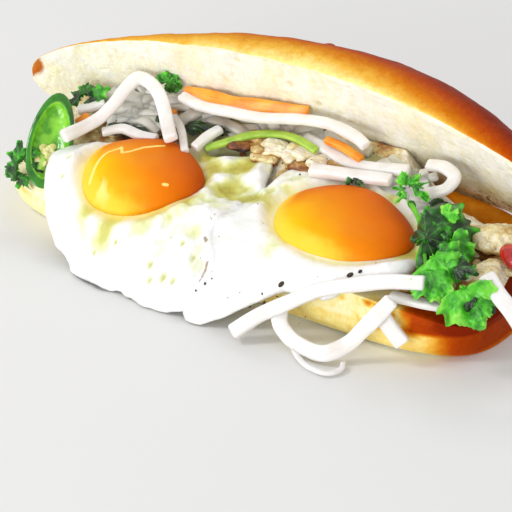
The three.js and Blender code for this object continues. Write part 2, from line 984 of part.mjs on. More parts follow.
const sandwich = new THREE.Group();
const placed = [];
for (const piece of PIECES) {
  let solid = piece.shape(0);
  for (const clearance of placed)
    if (boxesMeet(clearance.boundingBox(), solid.boundingBox())) solid = solid.subtract(clearance);
  sandwich.add(meshOf(piece, largestBody(solid)));
  placed.push(piece.shape(GAP));
}

export default sandwich;
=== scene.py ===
# Open banh mi with fried eggs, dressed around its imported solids. Lengths in the formulas are
# millimetres; every mesh is scaled to metres once, as it is made.
import math

import bpy
import numpy as np
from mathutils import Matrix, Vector


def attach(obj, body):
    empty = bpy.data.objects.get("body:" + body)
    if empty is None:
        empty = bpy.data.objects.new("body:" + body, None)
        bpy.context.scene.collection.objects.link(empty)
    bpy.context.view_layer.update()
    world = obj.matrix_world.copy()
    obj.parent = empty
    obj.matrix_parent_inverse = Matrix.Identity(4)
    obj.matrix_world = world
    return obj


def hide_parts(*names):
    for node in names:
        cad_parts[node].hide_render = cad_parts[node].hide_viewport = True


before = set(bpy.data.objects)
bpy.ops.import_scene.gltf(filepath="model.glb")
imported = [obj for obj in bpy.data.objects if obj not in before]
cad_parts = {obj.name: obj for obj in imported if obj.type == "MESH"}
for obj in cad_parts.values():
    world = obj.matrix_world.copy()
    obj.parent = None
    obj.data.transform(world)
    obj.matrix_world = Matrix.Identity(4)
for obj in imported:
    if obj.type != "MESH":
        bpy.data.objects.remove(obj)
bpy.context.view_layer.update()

MM = 0.001

# Sizes shared with the solids

BASE = {"centre_x": 0.5, "half_length": 91.5, "half_width": 34.5, "plan_power": 4.2,
        "middle": 8.5, "below": 11, "above": 14, "power": 0.62, "cut": 17, "end_drop": 0.35}
LID = {"centre_x": 6, "length": 106, "right_length": 99, "half_face": 25.3, "power": 2.4, "crust_power": 2,
       "swell": 1}
# Polynomials along the lid: its tilt in degrees, the y and z of its face's middle, its crust's depth
LID_TILT = (60.8, -6.2)
LID_Y = (21.5, 8.6, -8.1)
LID_Z = (40.6, 1.3, -11.2, -1.2)
LID_CRUST = (21.5, 7.5, -11.5)
HINGE = {"from_x": -50, "to_x": 74, "y": 31.5, "z": 17, "radius": 5}
FILLING = {"level": 24.5, "front_y": -24, "drop": 22.4, "short": 12, "extra": 17, "middle_x": -5,
           "half_length": 66, "rise_y": -4, "slope": 0.62, "bend": 5}
EGG = {"thin": 1.9, "thickest": 4.6, "spread": 24, "sink": 2.4, "lowest": 0.7}
LEFT_EGG = {"x": -26, "y": -26, "half_length": 42, "half_width": 25, "lift": 0,
            "lobes": [(322, 9, 26), (52, 9, 14), (262, 2.5, 34)], "feather": (0, 12)}
RIGHT_EGG = {"x": 36, "y": -15, "half_length": 33, "half_width": 22, "lift": 0.9,
             "lobes": [(231, 24, 20), (203, 5, 7), (150, 6, 12), (280, 4, 22)], "feather": (226, 2.6)}
LEFT_YOLK = {"x": -34.5, "y": -20.5, "half_length": 20.5, "half_width": 17.5, "dome": 7}
RIGHT_YOLK = {"x": 37.5, "y": -13, "half_length": 24, "half_width": 16.5, "dome": 7.5}
CHICKEN_PLAN = {"share": 0.93, "inset": 3, "power": 0.75}
CHICKEN_BACK = {"top": 28, "room": 14, "from_x": 30, "to_x": 62, "slope_from_x": 28, "slope_to_x": 44,
                "slope_from_y": 12, "slope": 0.7}


# Shape helpers

def signed_power(value, power):
    """The size of value to that power, with value's own sign."""
    return np.sign(value) * np.abs(value) ** power


def around(columns):
    """Angles evenly round a full turn."""
    return 2 * np.pi * np.arange(columns)[None] / columns


def outward_shares(rings):
    """Shares from 0 at the middle to 1 at the rim, one a row."""
    return np.linspace(0, 1, rings)[:, None]


def plan_share(along, power):
    """Width of a superellipse at along, from -1 to 1, as a share of its middle width."""
    return np.maximum(0, 1 - np.abs(along) ** power) ** (1 / power)


def gauss(distance, spread):
    """Bell curve: 1 at distance 0, and e^-1 at the spread."""
    return np.exp(-((distance / spread) ** 2))


def polynomial(terms, along):
    """The terms times the rising powers of along, added up."""
    return sum(term * along ** power for power, term in enumerate(terms))


def smooth(value, low, high):
    """0 below low, 1 above high, and the cubic 3t^2 - 2t^3 between."""
    t = np.clip((value - low) / (high - low), 0, 1)
    return t * t * (3 - 2 * t)


def unit(vectors):
    """Rows of vectors scaled to length 1."""
    length = np.linalg.norm(vectors, axis=-1, keepdims=True)
    return vectors / np.maximum(length, 1e-9)


def corner_value(x, y, z, seed):
    """Hash of whole-number lattice corners to numbers from -1 to 1."""
    mixed = (x * 374761393 + y * 668265263 + z * 1440662683 + seed * 1274126177) & 0xFFFFFFFF
    mixed = ((mixed ^ (mixed >> 13)) * 1274126177) & 0xFFFFFFFF
    return (mixed ^ (mixed >> 16)) / 0x7FFFFFFF - 1


def lumps(points, size, seed):
    """Value noise: corner values of a lattice of that size, blended by the quintic fade curve."""
    place = points / size
    low = np.floor(place).astype(np.int64)
    part = place - low
    fade = part ** 3 * (part * (part * 6 - 15) + 10)
    total = 0
    for dx in (0, 1):
        for dy in (0, 1):
            for dz in (0, 1):
                weight = np.abs(1 - dx - fade[..., 0]) * np.abs(1 - dy - fade[..., 1])
                weight = weight * np.abs(1 - dz - fade[..., 2])
                total = total + weight * corner_value(low[..., 0] + dx, low[..., 1] + dy,
                                                      low[..., 2] + dz, seed)
    return total


def rough(points, size, seed, octaves=3):
    """Sum of value noise at halving sizes and halving strengths."""
    return sum(lumps(points, size / 2 ** i, seed + i) / 2 ** i for i in range(octaves))


def flat_points(x, y):
    """Points in plan, with z at 0."""
    return np.stack([x, y, np.zeros_like(x)], axis=-1)


def filling_height(x, y):
    """Level over the cut face, rising to the crumb by a softened slope behind, and falling as a
    parabola in front over a reach that shortens towards the ends like a circle."""
    along = (x - FILLING["middle_x"]) / FILLING["half_length"]
    reach = FILLING["short"] + FILLING["extra"] * plan_share(along, 2)
    past_edge = np.maximum(0, FILLING["front_y"] - y) / reach
    bend = FILLING["bend"]
    rise = bend * np.log1p(np.exp((y - FILLING["rise_y"]) / bend))
    return FILLING["level"] - FILLING["drop"] * past_edge ** 2 + FILLING["slope"] * rise


def filling_normal(x, y):
    """Unit normal of the filling's surface from central differences."""
    step = 0.5
    slope_x = (filling_height(x + step, y) - filling_height(x - step, y)) / (2 * step)
    slope_y = (filling_height(x, y + step) - filling_height(x, y - step)) / (2 * step)
    return unit(np.stack([-slope_x, -slope_y, np.ones_like(slope_x)], axis=-1))


def over(x, y, lift):
    """A point above the filling's surface."""
    return (x, y, float(filling_height(np.float64(x), np.float64(y))) + lift)


# Meshes

def finish_mesh(name, points, quads, triangles, materials, marks=None, quad_slots=None):
    """One object from points in millimetres, quads and triangles, with number or vector marks kept
    as attributes of the points."""
    mesh = bpy.data.meshes.new(name)
    mesh.vertices.add(len(points))
    mesh.vertices.foreach_set("co", (points * MM).astype(np.float32).ravel())
    corners = np.concatenate([quads.ravel(), triangles.ravel()]).astype(np.int32)
    sizes = np.concatenate([np.full(len(quads), 4), np.full(len(triangles), 3)])
    mesh.loops.add(len(corners))
    mesh.loops.foreach_set("vertex_index", corners)
    mesh.polygons.add(len(sizes))
    mesh.polygons.foreach_set("loop_start", (np.cumsum(sizes) - sizes).astype(np.int32))
    mesh.polygons.foreach_set("use_smooth", np.ones(len(sizes), dtype=bool))
    for material in materials:
        mesh.materials.append(material)
    if quad_slots is not None:
        mesh.polygons.foreach_set("material_index", quad_slots.astype(np.int32))
    for mark, values in (marks or {}).items():
        kind = "FLOAT_VECTOR" if values.ndim == 2 else "FLOAT"
        layer = mesh.attributes.new(mark, kind, "POINT")
        layer.data.foreach_set("vector" if values.ndim == 2 else "value", values.astype(np.float32).ravel())
    mesh.update(calc_edges=True)
    mesh.validate()
    piece = bpy.data.objects.new(name, mesh)
    bpy.context.scene.collection.objects.link(piece)
    return piece


def ring_faces(rows, columns, start):
    """Quads and end fans of a skin whose first and last rows are single points."""
    row, column = np.meshgrid(np.arange(rows - 3), np.arange(columns), indexing="ij")
    after = (column + 1) % columns
    low = start + 1 + row * columns
    quads = np.stack([low + column, low + after, low + columns + after, low + columns + column], -1)
    edge = np.arange(columns)
    first = np.stack([np.full(columns, start), start + 1 + (edge + 1) % columns, start + 1 + edge], -1)
    ring = start + 1 + (rows - 3) * columns
    end = start + 1 + (rows - 2) * columns
    last = np.stack([np.full(columns, end), ring + edge, ring + (edge + 1) % columns], -1)
    return quads.reshape(-1, 4), np.concatenate([first, last])


def ring_values(grid):
    """The grid's values in mesh order, with its first and last rows as one point each."""
    tail = grid.shape[2:]
    middle = grid[1:-1].reshape((-1,) + tail)
    return np.concatenate([grid[0].mean(axis=0)[None], middle, grid[-1].mean(axis=0)[None]])


def joined_skins(name, grids, materials, marks=None, quad_slots=None):
    """Closed skins from rings of points, grid[ring, around], in one mesh, with marks gridded alike."""
    points, quads, fans, start = [], [], [], 0
    for grid in grids:
        rows, columns = grid.shape[:2]
        some_quads, some_fans = ring_faces(rows, columns, start)
        points.append(ring_values(grid))
        quads.append(some_quads)
        fans.append(some_fans)
        start += len(points[-1])
    values = {mark: np.concatenate([ring_values(g) for g in grids_of])
              for mark, grids_of in (marks or {}).items()}
    return finish_mesh(name, np.concatenate(points), np.concatenate(quads), np.concatenate(fans),
                       materials, values, quad_slots)


def ring_skin(name, grid, materials, marks=None, slot_of_column=None):
    """One closed skin, with a material slot for each of its columns."""
    slots = None
    if slot_of_column is not None:
        slots = np.concatenate([np.tile(slot_of_column, len(grid) - 3), np.tile(slot_of_column, 2)])
    lists = {mark: [grid_of] for mark, grid_of in (marks or {}).items()}
    return joined_skins(name, [grid], materials, lists, slots)


def lens_grid(top, bottom):
    """Rings of a thin closed form: the top face from its middle out, then the bottom face back in."""
    return np.concatenate([top, bottom[::-1]])


def add_piece(piece, slot, *nodes):
    """Rides the piece on the root body and hides the solids it takes the place of; the slot is not used."""
    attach(piece, "root")
    if nodes:
        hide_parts(*nodes)
    return piece


# Materials

def tint(red, green, blue):
    """Linear colour from screen values of 0 to 255."""
    channels = np.array([red, green, blue]) / 255
    linear = np.where(channels <= 0.04045, channels / 12.92, ((channels + 0.055) / 1.055) ** 2.4)
    return (*(float(c) for c in linear), 1.0)


class Wire:
    """A number socket; arithmetic on it adds Math nodes."""

    def __init__(self, paint, socket):
        self.paint = paint
        self.socket = socket

    def math(self, operation, *others, first=None):
        values = [self if first is None else first, *others]
        return self.paint.node("ShaderNodeMath", {"operation": operation}, dict(enumerate(values)))

    def __add__(self, other):
        return self.math("ADD", other)

    def __sub__(self, other):
        return self.math("SUBTRACT", other)

    def __mul__(self, other):
        return self.math("MULTIPLY", other)

    def __rsub__(self, other):
        return self.math("SUBTRACT", self, first=other)

    __radd__ = __add__
    __rmul__ = __mul__

    def between(self, low, high):
        """Smooth step from 0 at low to 1 at high."""
        settings = {"interpolation_type": "SMOOTHSTEP"}
        return self.paint.node("ShaderNodeMapRange", settings, {0: self, 1: low, 2: high})


class Paint:
    """One material: a Principled shader fed by nodes."""

    def __init__(self, name, **constants):
        self.material = bpy.data.materials.new(name)
        self.material.use_nodes = True
        self.tree = self.material.node_tree
        self.shader = self.tree.nodes["Principled BSDF"]
        for socket, value in constants.items():
            self.shader.inputs[socket.replace("_", " ").title().replace("Ior", "IOR")].default_value = value

    def node(self, kind, settings, inputs, output=0):
        node = self.tree.nodes.new(kind)
        for key, value in settings.items():
            if key == "stops":
                self.set_stops(node.color_ramp, value)
            else:
                setattr(node, key, value)
        for key, value in inputs.items():
            self.feed(node.inputs[key], value)
        return Wire(self, node.outputs[output])

    def set_stops(self, ramp, stops):
        while len(ramp.elements) < len(stops):
            ramp.elements.new(0.5)
        for element, (place, colour) in zip(ramp.elements, stops):
            element.position = place
            element.color = colour

    def feed(self, socket, value):
        if isinstance(value, Wire):
            self.tree.links.new(value.socket, socket)
        else:
            socket.default_value = value

    def place(self):
        return self.node("ShaderNodeTexCoord", {}, {}, "Object")

    def mark(self, name, output="Fac"):
        return self.node("ShaderNodeAttribute", {"attribute_name": name}, {}, output)

    def stretched(self, vector, scale):
        return self.node("ShaderNodeVectorMath", {"operation": "MULTIPLY"}, {0: vector, 1: scale})

    def noise(self, size, detail, roughness=0.55, distortion=0, vector=None):
        """Noise from 0 to 1 with features of about that size in millimetres."""
        inputs = {"Vector": vector or self.place(), "Scale": 1 / (size * MM), "Detail": detail,
                  "Roughness": roughness, "Distortion": distortion}
        return self.node("ShaderNodeTexNoise", {}, inputs)

    def cells(self, size):
        """Distance from scattered points about that far apart in millimetres."""
        inputs = {"Vector": self.place(), "Scale": 1 / (size * MM)}
        return self.node("ShaderNodeTexVoronoi", {}, inputs)

    def ramp(self, value, stops):
        return self.node("ShaderNodeValToRGB", {"stops": stops}, {0: value})

    def mix(self, share, one, other):
        inputs = {0: share, 6: one, 7: other}
        return self.node("ShaderNodeMix", {"data_type": "RGBA"}, inputs, 2)

    def multiply(self, share, one, other):
        settings = {"data_type": "RGBA", "blend_type": "MULTIPLY"}
        return self.node("ShaderNodeMix", settings, {0: share, 6: one, 7: other}, 2)

    def bump(self, height, depth):
        """Feeds Normal from a height of 0 to 1 that stands for depth in millimetres."""
        normal = self.node("ShaderNodeBump", {}, {"Height": height, "Distance": depth * MM, "Strength": 1.0})
        self.feed(self.shader.inputs["Normal"], normal)

    def colour(self, value):
        self.feed(self.shader.inputs["Base Color"], value)

    def roughness(self, value):
        self.feed(self.shader.inputs["Roughness"], value)


def crust_material():
    """Baked crust: the toast mark runs from pale at the cut to dark on the crown, broken by mottling
    and fine grain."""
    paint = Paint("baked_crust", subsurface_weight=0.05, subsurface_scale=0.002,
                  subsurface_radius=(1.0, 0.5, 0.2), specular_ior_level=0.05)
    toast = paint.mark("toast")
    mottle = (paint.noise(10, 4, 0.6) - 0.5) * 0.26 + (paint.noise(2.6, 3, 0.65) - 0.5) * 0.3
    speckle = paint.cells(1.3).between(0.05, 0.55)
    shade = toast + mottle * (1.2 - toast) + (speckle - 0.5) * 0.04
    colour = paint.ramp(shade, [
        (0.0, tint(254, 247, 206)), (0.16, tint(248, 228, 140)), (0.36, tint(236, 180, 66)),
        (0.58, tint(214, 124, 16)), (0.8, tint(184, 70, 0)), (1.0, tint(134, 34, 0))])
    paint.colour(colour)
    paint.roughness(0.7 - 0.22 * toast.between(0.3, 0.9))
    paint.bump(paint.noise(1.2, 4, 0.65) * 0.35 + paint.noise(4, 2) * 0.8, 0.3)
    return paint.material


def crumb_material():
    """Soft open crumb: cream, with painted shade that makes it a little yellower in the pits; towards the
    filling the stain mark gives both painted shade, a dull olive tint, and real flecks of brown; toasted by
    the lip mark, with a fine torn grain."""
    paint = Paint("open_crumb", subsurface_weight=0.3, subsurface_scale=0.003,
                  subsurface_radius=(1.0, 0.9, 0.7), roughness=0.95, specular_ior_level=0.1)
    drift = paint.noise(13, 3, 0.6)
    base = paint.mix(drift.between(0.35, 0.7), tint(255, 254, 244), tint(255, 249, 218))
    # Painted shade: the pit mark tints the pits a darker yellow cream, as if in shadow.
    deep = paint.mix(paint.mark("pit").between(0.15, 1.0), base, tint(228, 220, 166))
    grain = paint.noise(1.0, 4, 0.65)
    streak = paint.noise(2.2, 4, 0.7, 0.5, paint.stretched(paint.place(), (1, 0.35, 0.35)))
    deep = paint.multiply(streak.between(0.54, 0.34) * 0.32, deep, tint(236, 228, 168))
    # Painted shade: a dull olive tint low on the face towards the filling; the brown flecks below are real
    # specks.
    stain = paint.mark("stain")
    deep = paint.mix(stain * paint.noise(5, 3).between(0.3, 0.6) * 0.8, deep, tint(216, 206, 132))
    flecks = (paint.noise(1.7, 3, 0.7) + 0.3 * stain).between(0.78, 0.94)
    deep = paint.mix(flecks * stain.between(0.05, 0.5) * 0.85, deep, tint(162, 104, 40))
    lip = paint.mark("lip") + (paint.noise(3, 3) - 0.5) * 0.5
    paint.colour(paint.mix(lip.between(0.25, 0.85), deep, tint(186, 98, 30)))
    paint.bump(grain * 0.5 + streak * 0.9, 0.5)
    return paint.material


def white_material():
    """Cooked white: milky, with clear yellow-green places that the clear mark shows, a painted yellow glow of
    light round the yolk from the yellow mark, and browned at a fold by the browned mark."""
    paint = Paint("egg_white", subsurface_weight=0.4, subsurface_scale=0.004,
                  subsurface_radius=(1.0, 0.95, 0.8), specular_ior_level=0.45, coat_weight=0.15,
                  coat_roughness=0.15)
    clear = paint.mark("clear") + (paint.noise(6, 3, 0.6, 0.6) - 0.5) * 0.35
    milky = paint.mix(paint.noise(11, 2).between(0.4, 0.7), tint(242, 242, 241), tint(236, 237, 231))
    colour = paint.mix(clear.between(0.12, 0.5), milky, tint(228, 232, 184))
    colour = paint.mix(clear.between(0.4, 0.85), colour, tint(208, 206, 112))
    colour = paint.mix(clear.between(0.8, 1.3) * 0.8, colour, tint(184, 172, 64))
    # Painted light: a yellow glow through the yolk onto the white round it.
    colour = paint.mix(paint.mark("yellow"), colour, tint(255, 228, 110))
    colour = paint.mix(paint.mark("browned").between(0.25, 0.9) * 0.75, colour, tint(134, 98, 62))
    paint.colour(colour)
    paint.roughness(0.32 + 0.15 * paint.noise(4, 2))
    paint.bump(paint.noise(4.5, 3, 0.5, 0.4) * 0.8 + paint.noise(1.2, 2) * 0.2, 0.35)
    return paint.material


def yolk_material():
    """Soft yolk: deep orange, made yellower to its front left and deeper orange to its back by the painted
    light and shade of the depth mark, yellower where it thins at the rim, with pale film and a painted
    highlight from the film mark, under a dull wet skin."""
    paint = Paint("egg_yolk", subsurface_weight=0.3, subsurface_scale=0.005,
                  subsurface_radius=(1.0, 0.4, 0.05), specular_ior_level=0.12)
    # Painted light and shade: the depth mark is yellower on the lit front left and deeper orange on the
    # shaded back.
    depth = paint.mark("depth") + (paint.noise(9, 2) - 0.5) * 0.16
    colour = paint.ramp(depth, [
        (0.0, tint(255, 200, 6)), (0.25, tint(250, 172, 0)), (0.5, tint(238, 136, 0)),
        (0.8, tint(222, 106, 0)), (1.0, tint(196, 78, 0))])
    rim = paint.mark("rim") + (paint.noise(5, 2) - 0.5) * 0.5
    colour = paint.mix(rim.between(0.45, 1.1), colour, tint(252, 204, 60))
    # The film mark gives the real pale film and a painted highlight.
    colour = paint.mix(paint.mark("film").between(0.25, 0.8), colour, tint(254, 224, 128))
    paint.colour(colour)
    paint.roughness(0.42 + 0.12 * paint.noise(3, 2))
    paint.bump(paint.noise(5, 2) + paint.mark("film"), 0.12)
    return paint.material


def strip_material(name, pale, deep, scatter, share=0.6):
    """Pickled root or stem: moist and faintly clear, with grain along the strip's own length, and darkened
    towards grey green by the painted shade of the shade mark."""
    paint = Paint(name, subsurface_weight=share, subsurface_scale=0.005, subsurface_radius=scatter,
                  specular_ior_level=0.3, coat_weight=0.12, coat_roughness=0.2)
    grain = paint.stretched(paint.mark("grain", "Vector"), (0.12, 1, 1))
    fibre = paint.noise(0.8, 3, 0.6, 0.3, grain)
    drift = paint.noise(7, 2, 0.5, 0, paint.mark("grain", "Vector"))
    colour = paint.mix(fibre.between(0.4, 0.8) * 0.4 + drift.between(0.35, 0.7) * 0.6, pale, deep)
    # Painted shade: the shade mark darkens strips that lie in shadow.
    paint.colour(paint.multiply(paint.mark("shade"), colour, tint(186, 190, 132)))
    paint.roughness(0.3 + 0.15 * fibre)
    paint.bump(fibre + paint.noise(2.4, 2), 0.09)
    return paint.material


def chicken_material():
    """Grilled meat: pale fibres, browned and charred by the char mark, with dark grains of pepper."""
    paint = Paint("grilled_meat", subsurface_weight=0.15, subsurface_scale=0.002,
                  subsurface_radius=(1.0, 0.6, 0.4), specular_ior_level=0.5, coat_weight=0.2,
                  coat_roughness=0.25)
    fibre = paint.noise(1.4, 4, 0.65, 0.6, paint.stretched(paint.place(), (0.4, 1, 1)))
    char = paint.mark("char") + (paint.noise(3, 4, 0.65) - 0.5) * 0.8
    colour = paint.ramp(char, [
        (0.0, tint(252, 247, 228)), (0.28, tint(240, 226, 170)), (0.48, tint(200, 164, 92)),
        (0.66, tint(156, 94, 34)), (0.86, tint(98, 44, 14)), (1.0, tint(38, 18, 8))])
    colour = paint.multiply(fibre.between(0.6, 0.4) * 0.35, colour, tint(170, 120, 70))
    grains = paint.cells(2.1).between(0.2, 0.12)
    paint.colour(paint.mix(grains * paint.noise(6, 2).between(0.5, 0.6), colour, tint(40, 30, 16)))
    paint.roughness(0.42 + 0.2 * fibre)
    paint.bump(fibre + paint.noise(2.4, 3), 0.5)
    return paint.material


def leaf_material():
    """Fresh leaf: from bright to nearly black green by the fold mark, which carries painted light and shade,
    veins paler, a soft sheen.
    """
    paint = Paint("herb_leaf", subsurface_weight=0.15, subsurface_scale=0.002,
                  subsurface_radius=(0.4, 1.0, 0.2), specular_ior_level=0.45, coat_weight=0.25,
                  coat_roughness=0.22)
    # Painted light and shade: dark in the creases and on shaded leaves, lighter on lit rims.
    shade = paint.mark("fold") + (paint.noise(3.2, 3) - 0.5) * 0.95
    colour = paint.ramp(shade, [
        (0.0, tint(132, 222, 66)), (0.25, tint(78, 194, 24)), (0.5, tint(44, 142, 14)),
        (0.75, tint(26, 84, 10)), (1.0, tint(10, 38, 7))])
    vein = paint.mark("vein")
    colour = paint.mix(vein.between(0.4, 0.95) * 0.35, colour, tint(150, 210, 90))
    paint.colour(colour)
    paint.roughness(0.4 + 0.15 * paint.noise(2, 2))
    paint.bump(paint.noise(0.9, 3) - vein * 0.6, 0.15)
    return paint.material


def jalapeno_material():
    """Pepper: dark glossy skin outside, lime flesh inside by the flesh mark, paler by the pith mark."""
    paint = Paint("jalapeno", subsurface_weight=0.15, subsurface_scale=0.002,
                  subsurface_radius=(0.4, 1.0, 0.2), specular_ior_level=0.5, coat_weight=0.6,
                  coat_roughness=0.14)
    flesh = paint.mark("flesh")
    skin = paint.mix(paint.noise(7, 2).between(0.35, 0.7), tint(52, 140, 18), tint(22, 88, 8))
    inside = paint.mix(paint.noise(4, 3).between(0.4, 0.62), tint(140, 214, 50), tint(84, 170, 24))
    inside = paint.mix(paint.mark("pith").between(0.3, 1.0) * 0.7, inside, tint(196, 232, 110))
    paint.colour(paint.mix(flesh.between(0.4, 0.6), skin, inside))
    paint.roughness(0.2 + 0.15 * flesh)
    paint.bump(paint.noise(2.5, 2) * (0.3 + flesh), 0.15)
    return paint.material


def plain_material(name, one, other, size, roughness, coat=0.0):
    """Two tones broken up by noise of that size."""
    paint = Paint(name, specular_ior_level=0.5, coat_weight=coat, coat_roughness=0.1,
                  subsurface_weight=0.1, subsurface_scale=0.002)
    speck = paint.noise(size, 3)
    paint.colour(paint.mix(speck.between(0.35, 0.65), one, other))
    paint.roughness(roughness + 0.1 * speck)
    paint.bump(speck, 0.1)
    return paint.material


CRUST = crust_material()
CRUMB = crumb_material()
WHITE = white_material()
YOLK = yolk_material()
DAIKON = strip_material("pickled_daikon", tint(243, 239, 238), tint(224, 218, 210), (1.0, 0.9, 0.88))
CARROT = strip_material("pickled_carrot", tint(252, 172, 56), tint(238, 112, 4), (1.0, 0.5, 0.05), 0.25)
STEM = strip_material("spring_onion", tint(186, 222, 92), tint(112, 160, 44), (0.6, 1.0, 0.3))
HERB_STEM = strip_material("herb_stem", tint(120, 204, 52), tint(46, 136, 18), (0.4, 1.0, 0.2))
CHICKEN = chicken_material()
LEAF = leaf_material()
JALAPENO = jalapeno_material()
SEED = plain_material("pepper_seed", tint(238, 236, 176), tint(214, 206, 120), 1.5, 0.3, 0.3)
CHILLI = plain_material("red_chilli", tint(206, 22, 10), tint(150, 8, 4), 3, 0.2, 0.6)
PEPPER = plain_material("ground_pepper", tint(30, 24, 20), tint(70, 48, 30), 0.5, 0.6)


# Bread

# Pits of the crumb: how many, their least and greatest radius, and a seed
FINE_PITS = (1500, (0.35, 0.9), 3)
WIDE_PITS = (40, (0.9, 1.5), 4)
# A blister on the crown
LID_BUMP = {"x": 1, "angle": 1.12, "height": 1.6, "reach": 2.2}
# Toast of the top half at places along the roll: at its front rim and on its crown
TOAST_PLACES = (-100, -78, -55, -30, -5, 31, 56, 74, 86, 105)
RIM_TOAST = (0.7, 0.5, 0.38, 0.26, 0.16, 0.08, 0.26, 0.58, 0.82, 0.9)
CROWN_TOAST = (0.8, 0.7, 0.7, 0.74, 0.82, 0.92, 0.98, 1.02, 1.04, 1.05)


def lid_station(x):
    """Middle, half width, crust depth and directions of the tilted cut face at x."""
    along = (x - LID["centre_x"]) / LID["length"]
    reach = np.where(x > LID["centre_x"], LID["right_length"], LID["length"])
    share = plan_share((x - LID["centre_x"]) / reach, LID["power"])
    tilt = np.radians(polynomial(LID_TILT, along))
    middle = np.stack([x, polynomial(LID_Y, along), polynomial(LID_Z, along)], axis=-1)
    crust = polynomial(LID_CRUST, along) * share ** LID["crust_power"]
    zero = np.zeros_like(x)
    to_rim = np.stack([zero, -np.cos(tilt), np.sin(tilt)], axis=-1)
    outward = np.stack([zero, np.sin(tilt), np.cos(tilt)], axis=-1)
    return middle, LID["half_face"] * share, crust, to_rim, outward


def pits(across, lengthwise, count, radii, seed):
    """Depth of round-bottomed pits, stretched across the roll, on a grid of places in millimetres."""
    random = np.random.default_rng(seed)
    depth = np.zeros_like(across)
    low, high = lengthwise.min(), lengthwise.max()
    width = np.abs(across).max()
    for _ in range(count):
        middle = random.uniform(low, high)
        side = random.uniform(-width, width)
        radius = radii[0] + (radii[1] - radii[0]) * random.random() ** 2.5
        stretch = random.uniform(1.0, 2.0)
        turn = random.normal(0, 0.35)
        rows = np.nonzero(np.abs(lengthwise[:, 0] - middle) < radius * 2.2)[0]
        if not len(rows):
            continue
        part = slice(rows[0], rows[-1] + 1)
        away_x = lengthwise[part] - middle
        away_y = across[part] - side
        turned_x = away_x * math.cos(turn) + away_y * math.sin(turn)
        turned_y = away_y * math.cos(turn) - away_x * math.sin(turn)
        distance = np.hypot(turned_x, turned_y / stretch) / radius
        depth[part] = np.maximum(depth[part], radius * (1 - smooth(distance, 0.35, 1.15)))
    return depth


